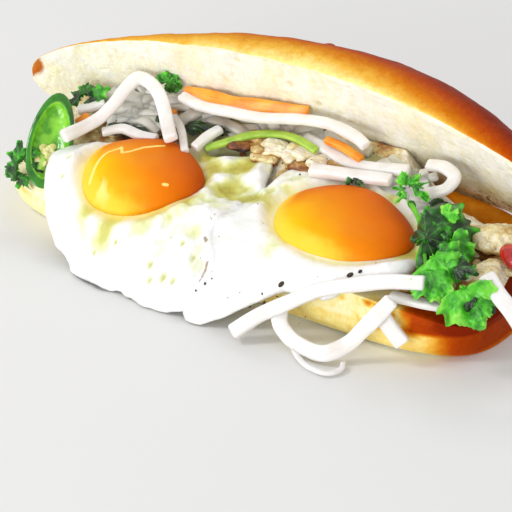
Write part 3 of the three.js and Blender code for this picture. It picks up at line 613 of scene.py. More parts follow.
def lid():
    """Crust: an arc that turns from one rim of the cut face to the other, with depth sin^0.9 of
    the angle. Face: the chord between the rims, swelling a little, cut by pits and torn grain, never
    deeper than a share of the crust behind it. The toast mark grows from the front rim as a power of
    the angle, sooner towards the right end; the lip mark toasts the face's left tip."""
    rows, crust_columns, face_columns = 440, 120, 120
    middle_x = LID["centre_x"] + (LID["right_length"] - LID["length"]) / 2
    half_length = (LID["right_length"] + LID["length"]) / 2
    x = middle_x - half_length * np.cos(np.pi * np.linspace(0, 1, rows))
    middle, half_face, crust, to_rim, outward = lid_station(x)
    wander = rough(flat_points(x, 0 * x), 8, 11, 4) * (half_face / LID["half_face"])
    half_face = half_face + 0.35 * wander
    angle = np.pi * np.arange(crust_columns) / crust_columns
    across_crust = half_face[:, None] * np.cos(angle)
    depth_crust = crust[:, None] * np.sin(angle) ** 0.9
    sweep = 1 - 2 * np.arange(face_columns) / face_columns
    across_face = -half_face[:, None] * sweep
    swell = LID["swell"] * (half_face / LID["half_face"])[:, None] * (1 - sweep ** 2)
    grid_x = np.repeat(x[:, None], face_columns, axis=1)
    holes = np.maximum(pits(across_face, grid_x, *FINE_PITS), pits(across_face, grid_x, *WIDE_PITS))
    inside = smooth(half_face[:, None] - np.abs(across_face), 0.3, 2.2)
    places = np.stack([grid_x, across_face, np.zeros_like(grid_x)], axis=-1)
    torn = places * np.array([1, 0.42, 1])
    fluff = 0.55 * rough(torn, 5.5, 21, 4) + 0.7 * lumps(places, 26, 31)
    off_middle = across_face / half_face[:, None].clip(1e-6)
    crust_behind = crust[:, None] * np.maximum(0, 1 - off_middle ** 2) ** 0.45
    depth_face = np.minimum(-(swell + (fluff - 0.5 * holes) * inside), 0.3 * crust_behind)
    across = np.concatenate([across_crust, across_face], axis=1)
    depth = np.concatenate([depth_crust, depth_face], axis=1)
    grid = middle[:, None] + across[..., None] * to_rim[:, None] + depth[..., None] * outward[:, None]
    on_crust = np.ones((rows, 1)) * np.sin(angle) ** 0.5
    relief = 0.5 * lumps(grid, 30, 5) + 0.3 * rough(grid, 9, 8, 4) - 0.68
    relief[:, :crust_columns] *= on_crust * smooth(depth_crust, 0, 4)
    relief[:, crust_columns:] = 0
    grid = grid + relief[..., None] * outward[:, None]
    bump_x, bump_angle = LID_BUMP["x"], LID_BUMP["angle"]
    bump = LID_BUMP["height"] * gauss(x - bump_x, LID_BUMP["reach"])[:, None] * gauss(angle - bump_angle, 0.1)
    grid[:, :crust_columns] += bump[..., None] * outward[:, None]
    power = 1.05 - 0.5 * smooth(x, 0, 50)[:, None]
    over_crown = np.clip(angle / 0.8, 0, 1) ** power * (1 - 0.3 * smooth(angle, 1.9, 2.9))
    at_rim = np.interp(x, TOAST_PLACES, RIM_TOAST)[:, None]
    at_crown = np.interp(x, TOAST_PLACES, CROWN_TOAST)[:, None]
    toast = at_rim + (at_crown - at_rim) * over_crown
    at_front = smooth(angle, 0.5, 1.1) * (1 - smooth(angle, 1.5, 2.2))
    toast = toast * (1 - 0.9 * smooth(-x, 78, 92)[:, None] * at_front)
    toast = np.concatenate([toast, np.zeros_like(across_face)], axis=1)
    # The pit mark also carries the painted shade in the pits.
    pit = np.concatenate([0 * across_crust, np.clip(holes / 1.9, 0, 1) * inside], axis=1)
    # Painted shade and real flecks: this mark grows low on the face and towards the right end.
    lowness = smooth(sweep, -0.1, 0.9) * (0.3 + 0.7 * smooth(x, 15, 70))[:, None]
    stain = np.concatenate([0 * across_crust, lowness + 0 * across_face], axis=1)
    at_tip = smooth(-x, 92.5, 96.5)[:, None] * smooth(sweep, 0.1, -0.7)
    lip = np.concatenate([0 * across_crust, at_tip + 0 * across_face], axis=1)
    marks = {"toast": toast[:, ::-1], "pit": pit[:, ::-1], "stain": stain[:, ::-1], "lip": lip[:, ::-1]}
    slots = np.concatenate([np.zeros(crust_columns), np.ones(face_columns)])[::-1]
    piece = ring_skin("roll_top", grid[:, ::-1], [CRUST, CRUMB], marks, slots)
    return add_piece(piece, "bread", "bread_roll")


def base():
    """Superellipse in plan; each section is a superellipse cut flat at the foot and at the cut face.
    The toast mark is pale in front, patchy on the upper half of the side, and dark at the right end
    and behind; the cut face is untoasted but for its right end."""
    rows, columns = 320, 240
    lengthwise = -np.cos(np.pi * np.linspace(0, 1, rows))[:, None]
    share = plan_share(lengthwise, BASE["plan_power"])
    angle = around(columns)
    height = np.where(np.sin(angle) > 0, BASE["above"], BASE["below"])
    x = BASE["centre_x"] + BASE["half_length"] * lengthwise + 0 * angle
    y = share * BASE["half_width"] * signed_power(np.cos(angle), BASE["power"])
    z = BASE["middle"] + height * share ** 0.25 * signed_power(np.sin(angle), BASE["power"])
    cut = BASE["cut"] * (1 - BASE["end_drop"] * lengthwise ** 6)
    grid = np.stack([x, y, np.clip(z, 0, cut)], axis=-1)
    side = smooth(grid[..., 2], 0.2, 3) * smooth(cut - grid[..., 2], 0, 1.5)
    outward = unit(np.stack([x * 0 + 0.4 * lengthwise ** 5, y / BASE["half_width"], 0 * y], axis=-1))
    relief = 0.5 * lumps(grid, 24, 51) + 0.25 * rough(grid, 7, 57, 3) - 0.35
    grid = grid + (relief * side)[..., None] * outward
    line_height = 8.8 + 0.8 * rough(grid * np.array([1, 1, 0]), 12, 61, 3)
    high = smooth(grid[..., 2] - line_height, -0.7, 0.9)
    dark = smooth(x + 2 * rough(grid, 6, 63, 2), 68, 75)
    right_end = smooth(x, 77, 88)
    patches = smooth(rough(grid, 6, 67, 3), -0.1, 0.7)
    toast = 0.16 + 0.04 * dark + high * (0.64 * dark + (1 - dark) * (0.5 * patches - 0.1))
    toast = toast + 0.66 * right_end * (1 - 0.6 * high) - 0.1 * smooth(x, -40, -85)
    toast = toast + 0.4 * smooth(y, -10, 20) * (1 - right_end) * (1 - 0.7 * high * patches)
    toast = toast - 0.2 * smooth(grid[..., 2], 2.2, 0.5)
    toast = toast * (1 - smooth(grid[..., 2] - cut, -0.8, -0.1) * smooth(-x, -70, -55))
    piece = ring_skin("roll_bottom", grid, [CRUST], {"toast": toast})
    return add_piece(piece, "bread", "bread_roll")


def hinge():
    """A straight tube of uncut crust along the back, thick in the middle and closed at both ends."""
    rows, columns = 160, 48
    along = np.linspace(0, 1, rows)[:, None]
    angle = around(columns)
    radius = HINGE["radius"] * plan_share(2 * along - 1, 4)
    x = HINGE["from_x"] + (HINGE["to_x"] - HINGE["from_x"]) * along + 0 * angle
    grid = np.stack([x, HINGE["y"] + radius * np.cos(angle), HINGE["z"] + radius * np.sin(angle)], axis=-1)
    grid = grid + (0.3 * rough(grid, 6, 71, 3))[..., None] * np.array([0, 1, 0])
    piece = ring_skin("roll_hinge", grid, [CRUST], {"toast": 0.55 + 0 * x})
    return add_piece(piece, "bread", "bread_roll")


# Eggs

# Clear places in the whites, in plan: x, y, reach, strength
CLEAR_PLACES = [(-8.6, -3.3, 6, 1.3), (-5, -9, 6, 1.2), (-17, -7, 5, 1.2), (-16, -13, 7, 1.1),
                (-7, -14, 7, 1.2), (-21, -2, 5, 1.0), (-4, -23, 6, 0.85), (-10, -26, 7, 0.8),
                (-21, -31, 6, 0.8), (-5, -35, 5, 0.5), (-12, -41, 6, 0.4), (-31, -40, 6, 0.9),
                (-40, -39, 5, 0.8), (-57, -18, 5, 0.25), (-22, -39, 6, 0.55), (9, -14, 6, 0.9),
                (11, -3, 6, 0.7), (62, -14, 6, 0.8), (22, -31, 6, 0.4), (3, -41, 5, 0.4), (40, 3.5, 8, 0.7)]
# Raised milky bulges, in plan: x, y, reach, height
BULGES = [(-14, -1, 4.2, 2.0), (-1, -3.5, 4, 1.2), (4.5, -3, 4, 1.2), (-11, -11.5, 4, 1.2),
          (-14.5, -19, 4, 1.0), (-27, -42, 5, 1.0), (-3, -28.5, 4, 1.0), (9, -21, 4, 0.9),
          (-38, -41, 3, 0.9), (-58, -26, 5, 0.8), (-18, -45, 5, 0.9), (16, -40, 6, 0.9)]
# Creases between the bulges, with how clear they are
CREASES = [([(-1, 2), (2, -3.5), (8, -9)], 0.9), ([(-10, -27), (-5, -22), (0, -16), (4, -11)], 0.8),
           ([(-6, -18), (-11, -16), (-19, -15)], 0.8), ([(-20, -31), (-14, -34), (-13, -40)], 0.45),
           ([(-8, -31), (-9, -37), (-6, -42)], 0.35), ([(-52, -36), (-45, -42), (-40, -48)], 0.1),
           ([(3, -36), (9, -33), (15, -32)], 0.1)]
# Small holes and bubbles, in plan: x, y, radius
BUBBLES = [(-12, -46.2, 1.1), (-5.8, -47.7, 1.2), (-2.2, -47.8, 1.0), (-4.7, -39.2, 0.9), (0.8, -41.5, 1.2),
           (-9.9, -49.1, 0.8), (-60, -26, 1.0), (-58, -32, 0.8), (-27, -44, 0.8), (-34, -47, 0.7)]
# The browned edge where the right white lies folded on the left one
BROWNED_FOLD = [(1.2, -28.9), (-0.5, -33), (1.2, -35.7), (3.3, -36.9), (6.8, -39.6), (8, -43.8), (6.6, -47.2)]
FOLDS = [(BROWNED_FOLD, 0.9), ([(1.2, -28.9), (0.5, -21.6), (0.1, -15.2), (1.5, -8.6)], 0.8),
         ([(20, 4), (12, -2), (8, -10), (10, -18)], 0.7), ([(-24, -42), (-18, -36), (-12, -30)], 0.6),
         ([(-58, -14), (-60, -22), (-57, -32)], 0.6), ([(-9, -10), (-14, -3), (-20, -1)], 0.8)]

# A painted highlight, a pale gleam along the left yolk's front rim, and lines of thin cooked film on it
YOLK_GLEAM = {"x": -41.5, "y": -34.8, "reach_x": 8.5, "reach_y": 3}
YOLK_FILM = [[(-44, -19), (-46, -23.4), (-46.2, -27.4), (-45.9, -30.9), (-45.3, -34)],
             [(-44, -19), (-41.5, -22), (-40, -20), (-38, -15.5), (-33, -11)],
             [(-20.8, -27.4), (-19.8, -26.8)]]


def egg_outline(egg, angle):
    """An ellipse's radius plus bell-shaped lobes, waves and a frilled edge."""
    oval = 1 / np.hypot(np.cos(angle) / egg["half_length"], np.sin(angle) / egg["half_width"])
    degrees = np.degrees(angle) % 360
    lobe = sum(reach * gauss(degrees - middle, spread) for middle, reach, spread in egg["lobes"])
    wave = 0.5 * np.sin(5 * angle + egg["x"]) + 0.4 * np.sin(9 * angle + egg["x"])
    circle = 20 * np.stack([np.cos(angle), np.sin(angle), 0 * angle + egg["x"]], axis=-1)
    return oval + lobe + wave + 0.8 * rough(circle, 5, 81, 3)


def line_mark(x, y, line, width):
    """1 on a line through the points in plan, fading to 0 at that width."""
    nearest = np.full(x.shape, 1e9)
    for (ax, ay), (bx, by) in zip(line[:-1], line[1:]):
        run_x, run_y = bx - ax, by - ay
        t = np.clip(((x - ax) * run_x + (y - ay) * run_y) / (run_x ** 2 + run_y ** 2), 0, 1)
        nearest = np.minimum(nearest, np.hypot(x - ax - t * run_x, y - ay - t * run_y))
    return 1 - smooth(nearest, 0.15 * width, width)


def from_yolk(yolk, x, y):
    """Distance in plan from the yolk's middle, 1 on its rim."""
    return np.hypot((x - yolk["x"]) / yolk["half_length"], (y - yolk["y"]) / yolk["half_width"])


def from_bubbles(x, y):
    """Distance in plan from each bubble's middle, 1 on its side rims; bubbles are longer in y."""
    return [np.hypot(x - middle_x, (y - middle_y) / 1.3) / radius for middle_x, middle_y, radius in BUBBLES]


def white_relief(x, y):
    """Skin of both whites over the filling's surface: broad bulges, ripples, folds and bubbles, with
    a moat and a low collar round each yolk."""
    ground = flat_points(x, y)
    near = np.minimum(from_yolk(LEFT_YOLK, x, y), from_yolk(RIGHT_YOLK, x, y))
    wrinkled = 0.5 + 0.9 * gauss(np.hypot(x + 6, y + 14), 20)
    relief = 0.8 * lumps(ground, 13, 91) + wrinkled * 0.6 * rough(ground, 6.5, 95, 3)
    for bulge_x, bulge_y, reach, height in BULGES:
        relief = relief + height * gauss(np.hypot(x - bulge_x, y - bulge_y), reach)
    for crease, clear in CREASES:
        relief = relief - (0.3 + 0.6 * clear) * line_mark(x, y, crease, 2.4)
    relief = relief + 0.12 * rough(ground, 1.8, 99, 2)
    for line, height in FOLDS:
        relief = relief + height * line_mark(x, y, line, 3.2)
    for distance in from_bubbles(x, y):
        relief = relief - 0.9 * gauss(distance, 0.7) + 0.2 * gauss(distance - 1.4, 0.4)
    return relief * smooth(near, 0.92, 1.2) - 0.7 * gauss(near - 1.02, 0.09) + 0.5 * gauss(near - 1.2, 0.1)


def clearness(x, y):
    """How clear the cooked white is: most in the named places, between the bulges, and in bubbles."""
    clear = 0.35 * gauss(np.minimum(from_yolk(LEFT_YOLK, x, y), from_yolk(RIGHT_YOLK, x, y)) - 1.04, 0.1)
    for place_x, place_y, reach, strength in CLEAR_PLACES:
        clear = np.maximum(clear, strength * gauss(np.hypot(x - place_x, y - place_y), reach))
    for crease, strength in CREASES:
        clear = np.maximum(clear, strength * line_mark(x, y, crease, 3.2))
    clear = clear * (0.95 - 0.6 * rough(flat_points(x, y), 6.5, 95, 3))
    for bulge_x, bulge_y, reach, _ in BULGES:
        clear = clear * (1 - 0.9 * gauss(np.hypot(x - bulge_x, y - bulge_y), 0.85 * reach))
    for distance in from_bubbles(x, y):
        clear = np.maximum(clear, 0.75 * gauss(distance, 0.8))
    return clear


def egg_white(egg, yolk, node):
    """A thin sheet draped on the filling's surface: a polar grid in plan whose top follows the
    whites' relief, with a rounded edge that feathers out towards one side, and its underside set
    back along the surface normal."""
    rings, columns = 150, 480
    share = outward_shares(rings) ** 0.8
    angle = around(columns)
    radius = share * egg_outline(egg, angle)
    x = egg["x"] + radius * np.cos(angle)
    y = egg["y"] + radius * np.sin(angle)
    thickness = EGG["thin"] + (EGG["thickest"] - EGG["thin"]) * gauss(
        np.hypot(x - yolk["x"], y - yolk["y"]), EGG["spread"])
    feather_angle, feather_power = egg["feather"]
    feather = gauss(np.degrees(angle) - feather_angle, 22)
    edge = np.sqrt(np.maximum(0, 1 - share ** (22 - (22 - feather_power) * feather)))
    normal = filling_normal(x, y)
    surface = np.stack([x, y, filling_height(x, y)], axis=-1)
    roundness = 0.5 * thickness * (1 - edge)
    top = surface + ((egg["lift"] + white_relief(x, y)) * edge - roundness)[..., None] * normal
    bottom = surface - ((egg["lift"] + thickness) * edge + roundness)[..., None] * normal
    for face in (top, bottom):
        face[..., 2] = np.maximum(face[..., 2], EGG["lowest"])
    clear = clearness(x, y)
    # Painted light: a yellow glow round each yolk, strongest on its front left.
    yellow = 0.8 * gauss(from_yolk(yolk, x, y) - 1.0, 0.1) * smooth(x + y, yolk["x"] + yolk["y"] + 40, -60)
    worn = smooth(rough(flat_points(x, y), 2.0, 101, 3), -0.25, 0.45)
    browned = line_mark(x, y, BROWNED_FOLD, 0.95) * worn
    marks = {"clear": lens_grid(clear, clear), "browned": lens_grid(browned, 0 * browned),
             "yellow": lens_grid(yellow, yellow)}
    piece = ring_skin(node + "_looks", lens_grid(top, bottom), [WHITE], marks)
    return add_piece(piece, "egg_white", node)


def yolk_dome(shape, film_lines, node):
    """A dome (1 - share^2.6)^0.5 high over the filling's surface, with a shallow underside; lines of thin
    cooked skin stand up a little from it, and the left yolk has a broken painted highlight, carried in the
    film mark. The depth mark is painted light and shade: it grows from the lit front left to the shaded back
    right and darkens the back left rim; the rim mark grows towards the front rim."""
    rings, columns = 90, 220
    share = outward_shares(rings)
    angle = around(columns)
    wobble = 1 + 0.02 * np.sin(3 * angle + 1) + 0.015 * np.sin(5 * angle)
    x = shape["x"] + share * shape["half_length"] * wobble * np.cos(angle)
    y = shape["y"] + share * shape["half_width"] * wobble * np.sin(angle)
    dome = np.sqrt(np.maximum(0, 1 - share ** 2.6))
    ground = flat_points(x, y)
    film = sum((line_mark(x, y, line, 0.9) for line in film_lines), 0 * x) * (dome > 0.1)
    swell = 0.35 * lumps(ground, 9, 111) * dome + 0.3 * film
    level = filling_height(x, y)
    top = np.stack([x, y, level + shape["dome"] * dome + swell - 0.4], axis=-1)
    bottom = np.stack([x, y, level - EGG["sink"] * np.sqrt(dome) - 0.4], axis=-1)
    turn = (x - shape["x"]) / shape["half_length"] + 0.8 * (y - shape["y"]) / shape["half_width"]
    # Painted light and shade: yellow where the front left is lit, deep orange at the back right and on the
    # shaded back left rim.
    depth = 0.5 + 0.4 * turn + 0.5 * gauss(np.hypot(share - 0.95, np.cos(angle - 2.6) - 1), 0.3)
    front = smooth(turn, 0.3, -0.9)
    rim = smooth(share, 0.55, 1.0) * (0.35 + 0.75 * front)
    # Painted highlight: a broken pale gleam along the left yolk's front rim, added to the film mark.
    gleam_x = (x - YOLK_GLEAM["x"]) / YOLK_GLEAM["reach_x"]
    gleam_y = (y - YOLK_GLEAM["y"] + 0.25 * (x - YOLK_GLEAM["x"])) / YOLK_GLEAM["reach_y"]
    broken = smooth(rough(ground * np.array([0.6, 1, 1]), 2.6, 113, 3), -0.5, 0.5)
    gleam = gauss(np.hypot(gleam_x, gleam_y), 1) * broken
    film = film + 0.75 * gleam
    marks = {"depth": lens_grid(depth, depth), "film": lens_grid(film, 0 * film), "rim": lens_grid(rim, rim)}
    piece = ring_skin(node + "_looks", lens_grid(top, bottom), [YOLK], marks)
    return add_piece(piece, "yolk", node)


# Strips

def smooth_route(points, count):
    """Centripetal Catmull-Rom curve through the points, sampled evenly in its segment numbers."""
    knots = np.array(points, dtype=float)
    knots = np.concatenate([[2 * knots[0] - knots[1]], knots, [2 * knots[-1] - knots[-2]]])
    gaps = np.linalg.norm(np.diff(knots, axis=0), axis=1) ** 0.5
    place = np.linspace(0, len(points) - 1, count)
    segment = np.minimum(place.astype(int), len(points) - 2)
    t = (place - segment)[:, None]
    before, start, end, after = (knots[segment + i] for i in range(4))
    gap_a, gap_b, gap_c = (gaps[segment + i][:, None] for i in range(3))
    leave = ((start - before) / gap_a - (end - before) / (gap_a + gap_b) + (end - start) / gap_b) * gap_b
    arrive = ((end - start) / gap_b - (after - start) / (gap_b + gap_c) + (after - end) / gap_c) * gap_b
    cubic = 2 * start - 2 * end + leave + arrive
    square = -3 * start + 3 * end - 2 * leave - arrive
    return start + t * leave + t ** 2 * square + t ** 3 * cubic


def strip_grid(route, facing, width, thickness, taper, seed, rows=150, columns=32):
    """A rounded rectangle carried along the route, its flat side turned to facing. Width, thickness
    and twist wander a little, and both ends are cut square with softened edges."""
    line = smooth_route(route, rows)
    ahead = unit(np.gradient(line, axis=0))
    sideways = unit(np.cross(facing, ahead))
    outward = np.cross(ahead, sideways)
    t = np.linspace(0, 1, rows)
    length = np.concatenate([[0], np.cumsum(np.linalg.norm(np.diff(line, axis=0), axis=1))])
    wander = flat_points(length, np.full_like(length, seed * 7.3))
    size = (1 - taper * t) * (1 + 0.07 * lumps(wander, 9, 121))
    slim = (1 - taper * t) * (1 + 0.1 * lumps(wander, 7, 127))
    twist = 0.16 * lumps(wander, 14, 131)
    from_end = np.minimum(length, length[-1] - length)
    ease = 0.82 + 0.18 * np.sqrt(np.clip(from_end / 0.5, 0, 1))
    angle = around(columns)
    across = 0.5 * width * signed_power(np.cos(angle), 0.55) * (size * ease)[:, None]
    up = 0.5 * thickness * signed_power(np.sin(angle), 0.55) * (slim * ease)[:, None]
    turned_across = across * np.cos(twist)[:, None] - up * np.sin(twist)[:, None]
    turned_up = across * np.sin(twist)[:, None] + up * np.cos(twist)[:, None]
    grid = line[:, None] + turned_across[..., None] * sideways[:, None]
    grid = grid + turned_up[..., None] * outward[:, None]
    pattern = np.stack([np.broadcast_to(length[:, None] + 31 * seed, across.shape), across, up], axis=-1)
    grain = rough(pattern * np.array([0.25, 1, 1]), 1.3, 137, 2)
    middle = line[:, None] + 0 * grid
    grid = grid + (0.06 * grain)[..., None] * unit(grid - middle)
    shrink = np.array([0, 0.5])[:, None, None]
    start_cap = line[0] + shrink * (grid[0] - line[0])
    end_cap = (line[-1] + shrink * (grid[-1] - line[-1]))[::-1]
    pattern = np.concatenate([pattern[:1], pattern[:1], pattern, pattern[-1:], pattern[-1:]])
    return np.concatenate([start_cap, grid, end_cap]), pattern * MM


UP = (0, -0.35, 0.94)
FRONT = (0, -1, 0.4)
FRONT_RIGHT = (0.4, -0.75, 0.4)

# Each strip's name, material, route, facing, width, thickness and taper
STRIPS = [
    ("daikon_front_long", DAIKON, [(25, -53.6, 3.4), over(31, -48, 3), over(39, -43, 2.8),
     over(47, -38, 2.8), over(55, -34, 2.8), over(65, -29, 2.8), over(77, -27, 3)], FRONT, 4.6, 3, 0),
    ("daikon_loop", DAIKON, [(35.5, -43, 12), (37.5, -46, 7.5), (42, -47, 4.4), (48, -48, 3.6),
     (55, -47.5, 3.8), (60, -43, 6.4), (64, -39.4, 12), (69, -38.4, 19), (71.5, -36.5, 23)],
     FRONT_RIGHT, 5, 2.2, 0),
    ("daikon_curl", DAIKON, [(43.5, -48, 2.2), (48, -51, 1.4), (54, -53.5, 1.4), (60, -53, 1.4),
     (62, -49, 1.4), (61, -46, 1.8)], (0, 0, 1), 1.6, 1.4, 0),
    ("daikon_hanging_end", DAIKON, [(65.5, -34.6, 17), (69, -35.2, 13.6), (75, -35, 8)],
     (0.2, -1, 0.2), 5.4, 2.6, 0),
    ("daikon_arch", DAIKON, [(-66, -22, 29), (-62, -9, 31), (-60, -3, 34.5), (-58.5, 2.5, 39),
     (-56, 5.5, 42), (-51.4, 5.7, 41.5), (-46, 3.4, 40), (-42, 0.8, 37), (-37, -3.8, 34),
     (-31, -10, 34)], (0.5, -0.7, 0.5), 4.4, 2.6, 0),
    ("daikon_top_long", DAIKON, [(-40.5, 8, 39), (-31.5, 7, 38.5), (-20.5, 7.5, 39.5),
     (-10.5, 8.5, 40.2), (3.5, 12.5, 42), (13.5, 14, 42.8), (24.5, 13, 42), (29.5, 11.5, 41)],
     UP, 3.8, 2.6, 0),
    ("daikon_top_cut", DAIKON, [over(15, 2, 3.2), over(26, 4, 3.2), over(42, 7, 3.2)], UP, 4.4, 3, 0),
    ("daikon_top_slanting", DAIKON, [over(4, 14, -0.8), over(15, 12.2, 0), over(23, 10, 0.6),
     over(32, 10, 1.6), over(45, 12.5, 2)], UP, 4, 2.4, 0),
    ("daikon_folded", DAIKON, [over(50, 15, 3), over(56, 15.5, 3.4), over(61, 13.5, 3.6),
     over(60.5, 10, 3.2), over(55, 6.5, 3)], UP, 4.2, 2.2, 0),
    ("daikon_short", DAIKON, [over(-26, -4.5, 3.4), over(-25, 1, 3.2), over(-23, 6, 2.2)], UP, 3.4, 2.6, 0),
    ("daikon_on_yolk", DAIKON, [over(-41, 4.5, 2.6), over(-36, 1.5, 3), over(-26.5, -8.5, 4.6)],
     UP, 2.6, 2, 0),
    ("daikon_left", DAIKON, [over(-60, -9, 1.6), over(-55, -5, 1.8), over(-47, -6, 2.6),
     over(-40, -6, 3.4)], UP, 3.6, 2.2, 0),
    ("daikon_back_left", DAIKON, [over(-74, -4, 2), over(-67, 1.5, 2.4)], UP, 3.6, 2.4, 0),
    ("daikon_right", DAIKON, [(93, -18.5, 30), (100.4, -22.5, 27.4), (105.3, -23.5, 24.4),
     (110, -24, 19.5), (113, -24.5, 13)], (0.5, -0.6, 0.6), 5.4, 3, 0),
    ("daikon_rim", DAIKON, [(66, -28.8, 18.9), (77, -26.8, 18.9), (88, -23, 18.9)], (0, 0, 1), 4.4, 2.2, 0),
    ("carrot_broad", CARROT, [(-41, 10, 38.6), (-31, 11.4, 39.4), (-22, 12, 40), (-12, 13.5, 41.4),
     (4, 16.2, 43)], (0, -0.7, 0.7), 6.4, 2.4, 0.3),
    ("carrot_thin", CARROT, [over(13.5, 12.5, 3), over(20.5, 12, 3), over(28.5, 10.6, 2.6)], UP, 2.8, 2.2, 0),
    ("carrot_left", CARROT, [over(-70.5, -9, 1.6), over(-69, -4.5, 1.8)], UP, 3, 2.2, 0),
    ("carrot_under_arch", CARROT, [over(-47, 7, 0.6), over(-42, 7, 0.8)], UP, 2.6, 2, 0),
    ("spring_onion_stem", STEM, [over(-24, -1, 1.2), over(-19, 3, 1.4), over(-14, 6.5, 1.6),
     over(-7, 9.6, 1.8), over(2, 11, 1.8), over(12, 9.5, 1.6)], UP, 2.8, 1.6, 0),
    ("cilantro_stem", HERB_STEM, [(54, -1, 34.8), (60, -5.5, 33.6), (67, -13, 31), (74, -22, 28.6)],
     UP, 1.6, 1.6, 0.3),
]
SLOT_NAMES = {"pickled_daikon": "daikon", "pickled_carrot": "carrot", "spring_onion": "stem",
              "herb_stem": "herb"}


def strips():
    """Each row of the table carried along its own route."""
    for number, (name, material, route, facing, width, thickness, taper) in enumerate(STRIPS):
        grid, pattern = strip_grid(route, np.array(facing, dtype=float), width, thickness, taper, number)
        slot = SLOT_NAMES[material.name]
        piece = ring_skin(name + "_looks", grid, [material], {"grain": pattern})
        add_piece(piece, slot, name)


# Fillings

# Torn pieces that show, in plan: x, y, lift, half length, thickness share, char
MEAT_BITS = [
    (-2.5, 7.2, 0.0, 5.4, 0.3, 0.06), (3.2, 6.4, 0.3, 4.4, 0.34, 0.0), (8.5, 8.8, 0.2, 5.2, 0.3, 0.1),
    (14, 7.6, 0.1, 5.0, 0.3, 0.14), (18, 5, -0.1, 4.4, 0.3, 0.34), (9.6, 4.6, -0.3, 4.6, 0.3, 0.66),
    (-8.2, 6.4, -0.2, 5.2, 0.3, 0.5), (-14.5, 6, -0.4, 5.2, 0.28, 0.74), (-4, 4.2, -0.5, 4.6, 0.3, 0.36),
    (5, 10.2, 0.0, 4.4, 0.3, 0.3), (20.5, 8, -0.4, 4.6, 0.3, 0.5), (-10, 9.4, -0.4, 4.4, 0.3, 0.6),
    (-24.5, 18.4, 0.4, 2.8, 0.6, 0.6), (-28.5, 18.2, 0.0, 1.4, 0.6, 0.75), (-21, 18.8, 0.2, 1.2, 0.6, 0.7),
    (-32, 17.8, 0.0, 1.3, 0.6, 0.65), (-35, 17, -0.2, 1.0, 0.6, 0.7), (-18, 19, 0, 0.9, 0.6, 0.7),
    (93, 3, -2.0, 5.0, 0.4, 0.2), (86, -16, -1.0, 5.4, 0.4, 0.5), (80, -18, -1.0, 5.0, 0.4, 0.45),
    (74, -20, -0.8, 5.0, 0.4, 0.5), (72, 2, -3.5, 5.5, 0.4, 0.6), (78, 10, -8.0, 5.0, 0.4, 0.65)]
# The heap's core in plan, and how far its top and underside lie under the filling's surface
HEAP_CORE = {"x": -6, "y": 12, "half_length": 66, "half_width": 9, "power": 0.8, "sunk": 3.6,
             "underside": 6.4}
MEAT_CRUMBS = 44
# How many random strips the heap has, the number of the last one laid along its whole length, and
# how many strips lie on the meat beside it
HEAP_STRIPS, LAST_ALONG, STRIPS_ON_MEAT = 104, 84, 12


def chicken_top(x, y):
    """The filling's surface, lower under the eggs; under the right half it is held down, and it falls
    away behind, so the crumb is seen."""
    covered = 1 - smooth(x, 66, 76)
    shown = gauss(x - 4, 17) * gauss(y - 8, 8)
    wave = 0.5 * np.sin(0.31 * x) * np.cos(0.43 * y)
    room = 0.9 + 5 * np.maximum(0, covered - shown)
    opening = 1 - smooth(x, CHICKEN_BACK["from_x"], CHICKEN_BACK["to_x"])
    behind = np.maximum(0, y - CHICKEN_BACK["slope_from_y"])
    behind = behind * smooth(x, CHICKEN_BACK["slope_from_x"], CHICKEN_BACK["slope_to_x"])
    highest = CHICKEN_BACK["top"] + CHICKEN_BACK["room"] * opening - CHICKEN_BACK["slope"] * behind
    return np.maximum(np.minimum(filling_height(x, y) - room, highest) + wave, BASE["cut"] + 1.2)


